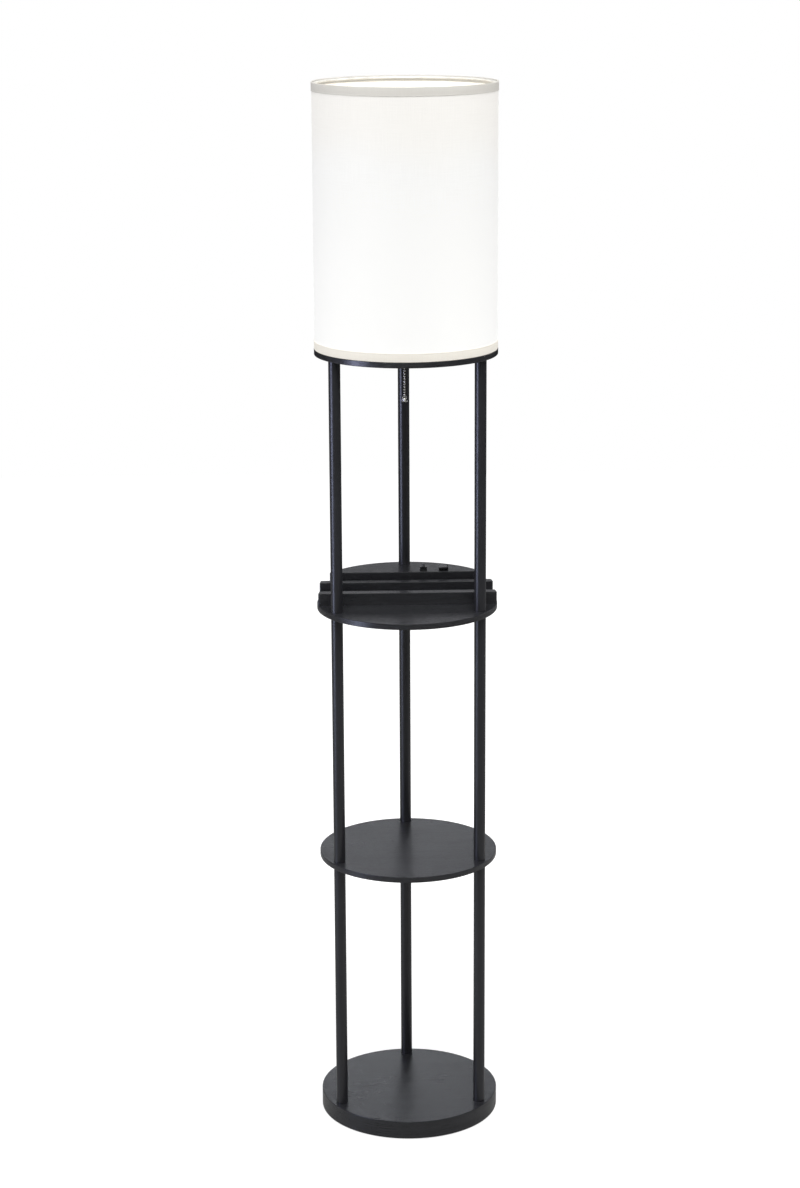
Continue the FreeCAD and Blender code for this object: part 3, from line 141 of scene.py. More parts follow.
class Sketch(Nodes):
    """A shader tree, with one short method for each kind of node that the finishes use."""

    def __init__(self, name: str) -> None:
        """Starts an empty material.

        Args:
            name: The material's name.
        """
        self.material = bpy.data.materials.new(name)
        self.material.use_nodes = True
        super().__init__(self.material.node_tree)

    def plus(self, a: object, b: object) -> bpy.types.NodeSocket:
        """The sum of two numbers or sockets."""
        return self.math("ADD", a, b)

    def span(self, value: object, low: float, high: float, to_low: float = 0.0,
             to_high: float = 1.0) -> bpy.types.NodeSocket:
        """Moves a value smoothly from one range to another.

        Args:
            value: The socket that is read.
            low: The value that becomes to_low.
            high: The value that becomes to_high.
            to_low: The result at low and beyond.
            to_high: The result at high and beyond.

        Returns:
            The socket of the result.
        """
        node = self.add("ShaderNodeMapRange", {"Value": value, "From Min": low, "From Max": high,
                                               "To Min": to_low, "To Max": to_high},
                        interpolation_type="SMOOTHSTEP")
        return node.outputs[0]

    def blend(self, share: object, first: object, second: object) -> bpy.types.NodeSocket:
        """Mixes two colours by a share."""
        node = self.add("ShaderNodeMix", {0: share, 6: rgba(first), 7: rgba(second)}, data_type="RGBA")
        return node.outputs[2]

    def scaled(self, colour: object, factor: object) -> bpy.types.NodeSocket:
        """Multiplies a colour by a number."""
        return self.add("ShaderNodeVectorMath", {0: plain(colour), 3: factor}, operation="SCALE").outputs[0]

    def place(self, scale: Point = (1.0, 1.0, 1.0), turn: float = 0.0) -> bpy.types.NodeSocket:
        """The object's own coordinates, turned about Z and then scaled."""
        source = self.add("ShaderNodeTexCoord").outputs["Object"]
        turned = self.add("ShaderNodeMapping", {"Vector": source, "Rotation": (0.0, 0.0, turn)})
        return self.add("ShaderNodeMapping", {"Vector": turned.outputs[0], "Scale": scale}).outputs[0]

    def mottle(self, where: object, scale: float, detail: float = 3.0,
               rough: float = 0.55) -> bpy.types.NodeSocket:
        """A noise value from 0 to 1."""
        node = self.add("ShaderNodeTexNoise", {"Vector": where, "Scale": scale, "Detail": detail,
                                               "Roughness": rough})
        return node.outputs[0]

    def split(self, vector: object) -> tuple[bpy.types.NodeSocket, ...]:
        """The three parts of a vector."""
        return tuple(self.add("ShaderNodeSeparateXYZ", {0: vector}).outputs)

    def radius(self, x: object, y: object) -> bpy.types.NodeSocket:
        """The distance from the lamp's axis."""
        return self.math("SQRT", self.plus(self.times(x, x), self.times(y, y)))

    def joined(self, x: object, y: object, z: object) -> bpy.types.NodeSocket:
        """A vector from three parts."""
        return self.add("ShaderNodeCombineXYZ", {0: x, 1: y, 2: z}).outputs[0]

    def bump(self, height: object, depth: float, before: object = None) -> bpy.types.NodeSocket:
        """A relief of the given depth in metres, on top of an earlier one."""
        inputs = {"Height": height, "Distance": depth, "Strength": 1.0}
        if before is not None:
            inputs["Normal"] = before
        return self.add("ShaderNodeBump", inputs).outputs[0]

    def surface(self, inputs: dict) -> bpy.types.Material:
        """Ends the tree in a principled surface.

        Args:
            inputs: The surface's sockets by name.

        Returns:
            The finished material.
        """
        shader = self.add("ShaderNodeBsdfPrincipled", inputs)
        self.add("ShaderNodeOutputMaterial", {"Surface": shader.outputs[0]})
        return self.material


def rgba(colour: object) -> object:
    """A colour with its fourth number, or the socket as it is."""
    return colour if isinstance(colour, bpy.types.NodeSocket) else (*colour, 1.0)


def plain(colour: object) -> object:
    """A colour of three numbers, or the socket as it is."""
    return colour if isinstance(colour, bpy.types.NodeSocket) else tuple(colour[:3])


# ---------------------------------------------------------------- finishes
@dataclass(frozen=True)
class GrainWrap:
    """Black printed foil with embossed wood pores, wrapped on fibreboard."""

    name: str
    colour: Colour = (0.0212, 0.0216, 0.0250)
    roughness: float = 0.30
    rim_radius: float = 124.5 * MM
    rim_edge: float = 0.8 * MM
    fibre_scale: float = 34.0
    stretch: float = 26.0
    wander: float = 0.35
    pore_dark: float = 0.55
    pore_rough: float = 0.16
    relief: float = 0.05

    def build(self) -> bpy.types.Material:
        """Makes the material."""
        s = Sketch(self.name)
        x, y, z = s.split(s.place())
        reach = s.radius(x, y)
        upright = s.math("ABSOLUTE", s.split(s.add("ShaderNodeTexCoord").outputs["Normal"])[2])
        on_rim = s.times(s.span(reach, self.rim_radius, self.rim_radius + self.rim_edge),
                        s.span(upright, 0.75, 0.55))
        round_rim = s.times(s.math("ARCTAN2", y, x), self.rim_radius)
        flat_place = s.place((1.0, self.stretch, self.stretch))
        rim_place = s.joined(round_rim, s.times(z, self.stretch),
                             s.times(reach, self.stretch))
        where = s.add("ShaderNodeMix", {0: on_rim, 4: flat_place, 5: rim_place},
                      data_type="VECTOR").outputs[1]
        drift = s.add("ShaderNodeTexNoise", {"Vector": s.place((3.0, 3.0, 3.0)), "Scale": 3.0, "Detail": 1.0})
        bent = s.scaled(drift.outputs["Color"], self.wander)
        where = s.add("ShaderNodeVectorMath", {0: where, 1: bent}, operation="ADD").outputs[0]
        fibre = s.mottle(where, self.fibre_scale, 5.0, 0.62)
        figure = s.mottle(where, self.fibre_scale * 0.16, 2.0, 0.5)
        pores = s.span(s.mottle(where, self.fibre_scale * 2.3, 1.0, 0.4), 0.60, 0.68)
        handled = s.mottle(s.place(), 14.0, 3.0, 0.5)
        tone = s.plus(s.span(fibre, 0.25, 0.75, 0.72, 1.22), s.span(figure, 0.3, 0.7, -0.12, 0.14))
        unpored = s.math("SUBTRACT", 1.0, s.times(pores, self.pore_dark))
        worn = s.plus(s.times(pores, self.pore_rough),
                      s.span(handled, 0.3, 0.7, -0.02, 0.03))
        rough = s.plus(s.span(fibre, 0.2, 0.8, self.roughness - 0.035, self.roughness + 0.045), worn)
        height = s.math("SUBTRACT", s.times(fibre, 0.5), pores)
        return s.surface({"Base Color": s.scaled(self.colour, s.times(tone, unpored)),
                          "Roughness": rough, "IOR": 1.5, "Normal": s.bump(height, self.relief * MM)})


@dataclass(frozen=True)
class SatinPaint:
    """Sprayed satin paint with a fine orange peel."""

    name: str
    colour: Colour
    roughness: float = 0.34
    peel: float = 0.014

    def build(self) -> bpy.types.Material:
        """Makes the material."""
        s = Sketch(self.name)
        peel = s.mottle(s.place(), 620.0, 2.0, 0.5)
        runs = s.mottle(s.place((1.0, 1.0, 0.12)), 60.0, 3.0, 0.5)
        colour = s.scaled(self.colour, s.span(runs, 0.25, 0.75, 0.88, 1.14))
        return s.surface({"Base Color": colour, "IOR": 1.5,
                          "Roughness": s.span(runs, 0.25, 0.75, self.roughness - 0.03, self.roughness + 0.04),
                          "Normal": s.bump(peel, self.peel * MM)})


@dataclass(frozen=True)
class Metal:
    """Bare or plated metal with fine tool marks."""

    name: str
    colour: Colour
    roughness: float = 0.2
    marks: Point = (1.0, 1.0, 24.0)
    mark_scale: float = 160.0
    depth: float = 0.004

    def build(self) -> bpy.types.Material:
        """Makes the material."""
        s = Sketch(self.name)
        lines = s.mottle(s.place(self.marks), self.mark_scale, 4.0, 0.6)
        tarnish = s.mottle(s.place(), 260.0, 4.0, 0.6)
        colour = s.scaled(self.colour, s.span(tarnish, 0.3, 0.75, 0.86, 1.06))
        rough = s.plus(s.span(lines, 0.3, 0.7, -0.05, 0.07),
                       s.span(tarnish, 0.35, 0.75, self.roughness + 0.03, self.roughness))
        return s.surface({"Base Color": colour, "Metallic": 1.0, "Roughness": rough,
                          "Normal": s.bump(lines, self.depth * MM)})


@dataclass(frozen=True)
class Moulded:
    """Moulded plastic, rubber or ceramic with the fine texture of its tool."""

    name: str
    colour: Colour
    roughness: float = 0.4
    texture_scale: float = 1500.0
    depth: float = 0.01
    # Emission: the bulb's own light on the bulb, and painted glow on the liner.
    glow: Colour | None = None
    glow_strength: float = 0.0

    def build(self) -> bpy.types.Material:
        """Makes the material."""
        s = Sketch(self.name)
        spark = s.mottle(s.place(), self.texture_scale, 2.0, 0.6)
        flow = s.mottle(s.place(), 45.0, 2.0, 0.5)
        inputs = {"Base Color": s.scaled(self.colour, s.span(flow, 0.3, 0.7, 0.92, 1.08)),
                  "Roughness": s.span(spark, 0.3, 0.7, self.roughness - 0.04, self.roughness + 0.06),
                  "IOR": 1.49, "Normal": s.bump(spark, self.depth * MM)}
        if self.glow is not None:
            inputs["Emission Color"] = rgba(self.glow)
            inputs["Emission Strength"] = self.glow_strength
        return s.surface(inputs)


@dataclass(frozen=True)
class PressedFelt:
    """Pressed felt with matted fibres."""

    name: str
    colour: Colour = (0.012, 0.012, 0.013)

    def build(self) -> bpy.types.Material:
        """Makes the material."""
        s = Sketch(self.name)
        fibres = s.mottle(s.place((1.0, 5.0, 1.0), 0.6), 420.0, 5.0, 0.7)
        crossed = s.mottle(s.place((5.0, 1.0, 1.0), 0.2), 400.0, 5.0, 0.7)
        mat = s.plus(fibres, crossed)
        return s.surface({"Base Color": s.scaled(self.colour, s.span(mat, 0.7, 1.3, 0.6, 1.6)),
                          "Roughness": 0.95, "Sheen Weight": 0.4, "Sheen Roughness": 0.5,
                          "Normal": s.bump(mat, 0.25 * MM)})


@dataclass(frozen=True)
class WovenCloth:
    """Plain-woven cloth over a lit liner. Its UV map is in metres: around, then up.

    Attributes:
        name: The material's name.
        colour: The cloth's own colour.
        glow: The colour of the painted glow, an emission that stands in for the bulb's light coming through
            it.
        glow_strength: How strong that painted glow is.
        thread: The length of one weave repeat, in millimetres.
        relief: The depth of the weave, in millimetres.
        sheen: The weight of the fibres' sheen.
        warm: The colour of the painted glow towards the top.
        low: The height at which the painted glow starts to change.
        high: The height at which it has changed.
        fade: How much of the painted glow is lost at the top, a painted shade there.
        inner_glow: The painted glow's strength on the inside of a fold, or 0 for the same as outside.
        wall: The radius that parts the inside of a fold from the outside.
    """

    name: str
    colour: Colour
    glow: Colour
    glow_strength: float
    thread: float = 0.62
    relief: float = 0.05
    sheen: float = 0.08
    warm: Colour = (1.0, 0.93, 0.80)
    low: float = 0.0
    high: float = 1.0
    fade: float = 0.0
    inner_glow: float = 0.0
    wall: float = 125.4 * MM
    unevenness: float = 2.2
    slub_across: float = 900.0
    slub_along: float = 26.0

    def build(self) -> bpy.types.Material:
        """Makes the material."""
        s = Sketch(self.name)
        uv = s.add("ShaderNodeTexCoord").outputs["UV"]
        around, up, _ = s.split(uv)
        turn = 2 * math.pi / (self.thread * MM)
        wobble = s.times(s.mottle(uv, 260.0, 2.0, 0.5), self.unevenness)
        warp, weft = (s.math("SINE", s.plus(s.times(way, turn), wobble))
                      for way in (around, up))
        knots = s.times(warp, weft)
        slub_up, slub_round = (
            s.mottle(s.add("ShaderNodeMapping", {"Vector": uv, "Scale": scale}).outputs[0], 1.0, 3.0, 0.6)
            for scale in ((self.slub_across, self.slub_along, 1.0), (self.slub_along, self.slub_across, 1.0)))
        slubs = s.plus(slub_up, slub_round)
        height = s.plus(s.times(knots, 0.35), slubs)
        shade = s.plus(s.span(knots, -1.0, 1.0, 0.975, 1.012), s.span(slubs, 0.7, 1.3, -0.018, 0.018))
        x, y, level = s.split(s.place())
        cloud = s.mottle(s.place(), 9.0, 2.0, 0.5)
        # Painted glow, warmer and dimmer towards the top: a painted shade over the upper part.
        upper = s.span(s.plus(level, s.times(cloud, 0.05)), self.low, self.high)
        lit = s.blend(s.span(upper, 0.80, 1.0), self.glow, self.warm)
        kept = s.math("SUBTRACT", 1.0, s.times(upper, self.fade))
        lit = s.scaled(lit, s.times(shade, kept))
        # Painted glow on the inside of a fold, set apart by radius.
        if self.inner_glow > 0:
            inside = self.inner_glow / self.glow_strength
            lit = s.scaled(lit, s.span(s.radius(x, y), self.wall - 0.4 * MM, self.wall + 1.2 * MM,
                                       inside, 1.0))
        return s.surface({"Base Color": s.scaled(self.colour, shade), "Roughness": 0.85,
                          "Specular IOR Level": 0.25, "Sheen Weight": self.sheen, "Sheen Roughness": 0.4,
                          "Emission Color": lit, "Emission Strength": self.glow_strength,
                          "Normal": s.bump(height, self.relief * MM)})


BOARD = GrainWrap("black_grain_wrap")
HOUSING_WRAP = GrainWrap("black_grain_wrap_housing")
POST_PAINT = SatinPaint("satin_black_post", (0.0185, 0.0190, 0.0225), 0.34)
FRAME_PAINT = SatinPaint("white_wire_paint", (0.78, 0.77, 0.74), 0.42)
NICKEL = Metal("bright_nickel", (0.70, 0.68, 0.64), 0.14)
BRASS = Metal("turned_brass", (0.62, 0.43, 0.16), 0.24, (1.0, 1.0, 40.0), 120.0)
ZINC = Metal("zinc_plate", (0.56, 0.57, 0.59), 0.34, (1.0, 1.0, 1.0), 700.0)
BARE_STEEL = Metal("bare_steel", (0.33, 0.32, 0.31), 0.45, (30.0, 1.0, 1.0), 90.0, 0.01)
SPRING_STEEL = Metal("drawn_spring_wire", (0.50, 0.50, 0.52), 0.28)
BRIGHT_CAP = Metal("bright_bulb_cap", (0.74, 0.74, 0.73), 0.2)
GOLD_CONTACT = Metal("plated_contact", (0.85, 0.62, 0.22), 0.18)
PHENOLIC = Moulded("brown_phenolic", (0.030, 0.021, 0.017), 0.28, 900.0, 0.006)
PORCELAIN = Moulded("unglazed_porcelain", (0.74, 0.71, 0.64), 0.55, 1300.0, 0.02)
PORT_PLASTIC = Moulded("port_black", (0.011, 0.011, 0.012), 0.26, 1400.0, 0.006)
BUTTON_PLASTIC = Moulded("button_grey", (0.085, 0.085, 0.09), 0.30, 1400.0, 0.006)
TONGUE_PLASTIC = Moulded("port_tongue_black", (0.012, 0.012, 0.013), 0.4)
GLAND_RUBBER = Moulded("gland_rubber", (0.012, 0.012, 0.012), 0.6, 800.0, 0.02)
LEAD_PVC = Moulded("white_lead_pvc", (0.72, 0.71, 0.67), 0.38, 700.0, 0.008)
BOARD_LACQUER = Moulded("green_board_lacquer", (0.012, 0.09, 0.035), 0.3, 500.0, 0.01)
WINDING_TAPE = Moulded("yellow_winding_tape", (0.62, 0.43, 0.06), 0.38, 300.0, 0.02)
BULB_SHELL = Moulded("bulb_white_shell", (0.80, 0.79, 0.75), 0.35, 900.0, 0.005)
BULB_FROST = Moulded("bulb_frost", (0.90, 0.88, 0.82), 0.5, 1100.0, 0.008, (1.0, 0.90, 0.78), 4.6)
FELT = PressedFelt("black_felt")
# Painted glow: the cloth's emission stands in for the bulb's light through it, dimmer and warmer towards the
# top.
CLOTH = WovenCloth("shade_cloth", (0.43, 0.428, 0.422), (1.0, 1.0, 0.995), 0.66,
                   sheen=0.25, warm=(1.0, 0.97, 0.92), low=1.08, high=1.52, fade=0.19)
# Painted glow on both trims: faint on the top trim, stronger on the bottom trim and strongest inside its
# fold.
TRIM_CLOTH = WovenCloth("shade_trim_cloth", (0.62, 0.605, 0.575), (1.0, 0.96, 0.88), 0.07, 0.45, 0.03,
                        inner_glow=0.01)
LOW_TRIM_CLOTH = WovenCloth("shade_low_trim_cloth", (0.60, 0.59, 0.565), (1.0, 0.985, 0.95), 0.40, 0.45, 0.03,
                            inner_glow=0.60)
# Painted glow: the liner's emission stands in for the bulb's light on it.
LINER = Moulded("shade_liner", (0.80, 0.79, 0.76), 0.35, 300.0, 0.01, (1.0, 0.96, 0.88), 0.36)

FINISH_OF_SLOT: dict[str, object] = {
    "black_board": BOARD,
    "black_housing": HOUSING_WRAP,
    "post_black": POST_PAINT,
    "zinc_steel": ZINC,
    "ballast_steel": BARE_STEEL,
    "felt": FELT,
    "nickel": NICKEL,
    "brass": BRASS,
    "phenolic": PHENOLIC,
    "insulator": PORCELAIN,
    "circuit_green": BOARD_LACQUER,
    "transformer_wrap": WINDING_TAPE,
    "port_black": PORT_PLASTIC,
    "port_tongue": TONGUE_PLASTIC,
    "button_black": BUTTON_PLASTIC,
    "spring_steel": SPRING_STEEL,
    "gland_rubber": GLAND_RUBBER,
    "lead_pvc": LEAD_PVC,
    "frame_white": FRAME_PAINT,
    "shade_fabric": CLOTH,
    "shade_trim": TRIM_CLOTH,
    "bulb_white": BULB_SHELL,
    "bulb_frost": BULB_FROST,
    "bulb_cap": BRIGHT_CAP,
}


class Finishes:
    """Builds each finish once and hands it out."""

    def __init__(self) -> None:
        """Starts with none built."""
        self._built: dict[str, bpy.types.Material] = {}

    def material(self, finish: object) -> bpy.types.Material:
        """The finish's material, built when first asked for."""
        if finish.name not in self._built:
            self._built[finish.name] = finish.build()
        return self._built[finish.name]

    def put_on(self, piece: bpy.types.Object, finish: object) -> None:
        """Gives a piece that finish alone."""
        piece.data.materials.clear()
        piece.data.materials.append(self.material(finish))


# ---------------------------------------------------------------- meshes
def linked(name: str, data: bpy.types.ID) -> bpy.types.Object:
    """Makes an object of some data and links it to the scene."""
    made = bpy.data.objects.new(name, data)
    bpy.context.scene.collection.objects.link(made)
    return made


def shade_smooth(mesh: bpy.types.Mesh, sharp: float) -> None:
    """Smooths a mesh's shading, except at edges of at least a number of degrees."""
    mesh.polygons.foreach_set("use_smooth", [True] * len(mesh.polygons))
    mesh.set_sharp_from_angle(angle=math.radians(sharp))


def mesh_object(name: str, points: Sequence[Point], faces: Sequence[Sequence[int]],
                uv: Sequence[tuple[float, float]] | None = None, sharp: float = 38.0) -> bpy.types.Object:
    """Makes a smooth mesh object at the origin.

    Args:
        name: The object's name.
        points: The vertices.
        faces: The vertex numbers of each face.
        uv: One UV pair for each face corner, in the faces' order.
        sharp: The angle in degrees from which an edge stays sharp.

    Returns:
        The object, linked to the scene.
    """
    mesh = bpy.data.meshes.new(name)
    mesh.from_pydata(points, [], faces)
    if uv is not None:
        layer = mesh.uv_layers.new(name="UVMap")
        layer.data.foreach_set("uv", [number for pair in uv for number in pair])
    shade_smooth(mesh, sharp)
    mesh.update()
    return linked(name, mesh)


def lathe(name: str, outline: Outline, centre: tuple[float, float] = (0.0, 0.0), segments: int = 64,
          sharp: float = 38.0) -> bpy.types.Object:
    """Turns an outline about a vertical line.

    Args:
        name: The object's name.
        outline: Radius and height of each point, from the bottom up the outside and back down the
            inside. A point of radius 0 becomes a pole.
        centre: The line's x and y.
        segments: The number of steps round.
        sharp: The angle in degrees from which an edge stays sharp.

    Returns:
        The object.
    """
    points: list[Point] = []
    rows: list[list[int]] = []
    for radius, height in outline:
        if radius < 1e-9:
            rows.append([len(points)] * segments)
            points.append((centre[0], centre[1], height))
            continue
        rows.append(list(range(len(points), len(points) + segments)))
        for step in range(segments):
            angle = 2 * math.pi * step / segments
            points.append((centre[0] + radius * math.cos(angle), centre[1] + radius * math.sin(angle),
                           height))
    faces = []
    for low, high in zip(rows, rows[1:] + rows[:1]):
        for step in range(segments):
            after = (step + 1) % segments
            corners = list(dict.fromkeys((low[step], low[after], high[after], high[step])))
            if len(corners) > 2:
                faces.append(corners)
    return mesh_object(name, points, faces, sharp=sharp)


def wound(name: str, section: Callable[[float], Outline], start: float, sweep: float, steps: int,
          around: float, sharp: float = 50.0) -> bpy.types.Object:
    """Carries a closed section round the lamp's axis.

    Args:
        name: The object's name.
        section: Gives the section's radii and heights at an angle swept so far, outside first and upwards.
        start: The first angle.
        sweep: The angle swept. A full turn closes on itself, and any other is capped.
        steps: The number of steps.
        around: The radius that the UV map's first number is measured at.
        sharp: The angle in degrees from which an edge stays sharp.

    Returns:
        The object, with a UV map in metres.
    """
    full = abs(sweep - 2 * math.pi) < 1e-9
    count = steps if full else steps + 1
    points: list[Point] = []
    lengths: list[list[float]] = []
    size = 0
    for index in range(count):
        swept = sweep * index / steps
        outline = section(swept)
        size = len(outline)
        angle = start + swept
        points += [(r * math.cos(angle), r * math.sin(angle), z) for r, z in outline]
        run = [0.0]
        for (r0, z0), (r1, z1) in zip(outline, outline[1:] + outline[:1]):
            run.append(run[-1] + math.hypot(r1 - r0, z1 - z0))
        lengths.append(run)
    faces: list[list[int]] = []
    uv: list[tuple[float, float]] = []
    for index in range(steps):
        after = (index + 1) % count
        u0 = around * sweep * index / steps
        u1 = around * sweep * (index + 1) / steps
        for k in range(size):
            k1 = (k + 1) % size
            faces.append([index * size + k, after * size + k, after * size + k1, index * size + k1])
            v0 = lengths[index][k]
            v1 = lengths[index][k + 1]
            uv += [(u0, v0), (u1, v0), (u1, v1), (u0, v1)]
    if not full:
        for ring, turned in ((0, False), (count - 1, True)):
            corners = [ring * size + k for k in range(size)]
            faces.append(corners[::-1] if turned else corners)
            uv += [(0.0, 0.0)] * size
    return mesh_object(name, points, faces, uv, sharp)


def rounded(corners: Outline, radius: float, steps: int = 3) -> Outline:
    """A closed outline with its corners rounded.

    Args:
        corners: The outline's corner points.
        radius: The largest rounding. A short side gets less.
        steps: The number of steps in each corner.

    Returns:
        The rounded outline.
    """
    result: Outline = []
    for index, corner in enumerate(corners):
        here = Vector(corner)
        before = Vector(corners[index - 1])
        after = Vector(corners[(index + 1) % len(corners)])
        reach = min(radius, (before - here).length * 0.45, (after - here).length * 0.45)
        first = here + (before - here).normalized() * reach
        last = here + (after - here).normalized() * reach
        for step in range(steps + 1):
            t = step / steps
            point = first * (1 - t) ** 2 + here * 2 * t * (1 - t) + last * t ** 2
            result.append((point.x, point.y))
    return result


def settle(piece: bpy.types.Object, body: Body, slot: str, *replaced: str) -> bpy.types.Object:
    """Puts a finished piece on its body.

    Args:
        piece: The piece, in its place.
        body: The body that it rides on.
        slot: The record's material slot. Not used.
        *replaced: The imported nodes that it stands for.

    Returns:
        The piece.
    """
    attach(piece, body.value)
    if replaced:
        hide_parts(*replaced)
    LOG.info("piece %s: %d faces on %s", piece.name,
             len(piece.data.polygons) if piece.type == "MESH" else 0, body.value)
    return piece


# ---------------------------------------------------------------- repeated pieces
class RepeatTree(Nodes):
    """A Geometry Nodes tree with named inputs, used once and turned into a plain mesh."""

    def __init__(self, name: str) -> None:
        """Starts the tree with its two ends."""
        super().__init__(bpy.data.node_groups.new(name, "GeometryNodeTree"))
        self.tree.interface.new_socket("Geometry", in_out="OUTPUT", socket_type="NodeSocketGeometry")
        self.values: dict[str, object] = {}
        self.source = self.tree.nodes.new("NodeGroupInput")
        self.end = self.tree.nodes.new("NodeGroupOutput")

    def size(self, name: str, kind: str, value: object) -> bpy.types.NodeSocket:
        """Adds a named input.

        Args:
            name: What the input sets.
            kind: The socket's type, such as NodeSocketFloat.
            value: The value that the modifier gets.

        Returns:
            The socket inside the tree.
        """
        item = self.tree.interface.new_socket(name, in_out="INPUT", socket_type=kind)
        self.values[item.identifier] = value
        return self.source.outputs[name]

    def moved(self, geometry: bpy.types.NodeSocket, place: object) -> bpy.types.NodeSocket:
        """A geometry moved to a place."""
        return self.add("GeometryNodeTransform", {"Geometry": geometry, "Translation": place}).outputs[0]

    def join(self, *parts: bpy.types.NodeSocket) -> bpy.types.NodeSocket:
        """Joins several geometries."""
        node = self.tree.nodes.new("GeometryNodeJoinGeometry")
        for part in parts:
            self.tree.links.new(part, node.inputs[0])
        return node.outputs[0]

    def piece(self, name: str, geometry: bpy.types.NodeSocket, material: bpy.types.Material,
              sharp: float = 45.0) -> bpy.types.Object:
        """Ends the tree and bakes it.

        Args:
            name: The piece's name.
            geometry: What the tree has made.
            material: The piece's finish.
            sharp: The angle in degrees from which an edge stays sharp.

        Returns:
            A plain mesh object.
        """
        whole = self.add("GeometryNodeRealizeInstances", {0: geometry}).outputs[0]
        dressed = self.add("GeometryNodeSetMaterial", {"Geometry": whole, "Material": material}).outputs[0]
        self.tree.links.new(dressed, self.end.inputs[0])
        host = linked(name + "_host", bpy.data.meshes.new(name + "_host"))
        modifier = host.modifiers.new("repeat", "NODES")
        modifier.node_group = self.tree
        for identifier, value in self.values.items():
            modifier[identifier] = value
        bpy.context.view_layer.update()
        evaluated = host.evaluated_get(bpy.context.evaluated_depsgraph_get())
        mesh = bpy.data.meshes.new_from_object(evaluated)
        bpy.data.objects.remove(host)
        mesh.name = name
        shade_smooth(mesh, sharp)
        return linked(name, mesh)


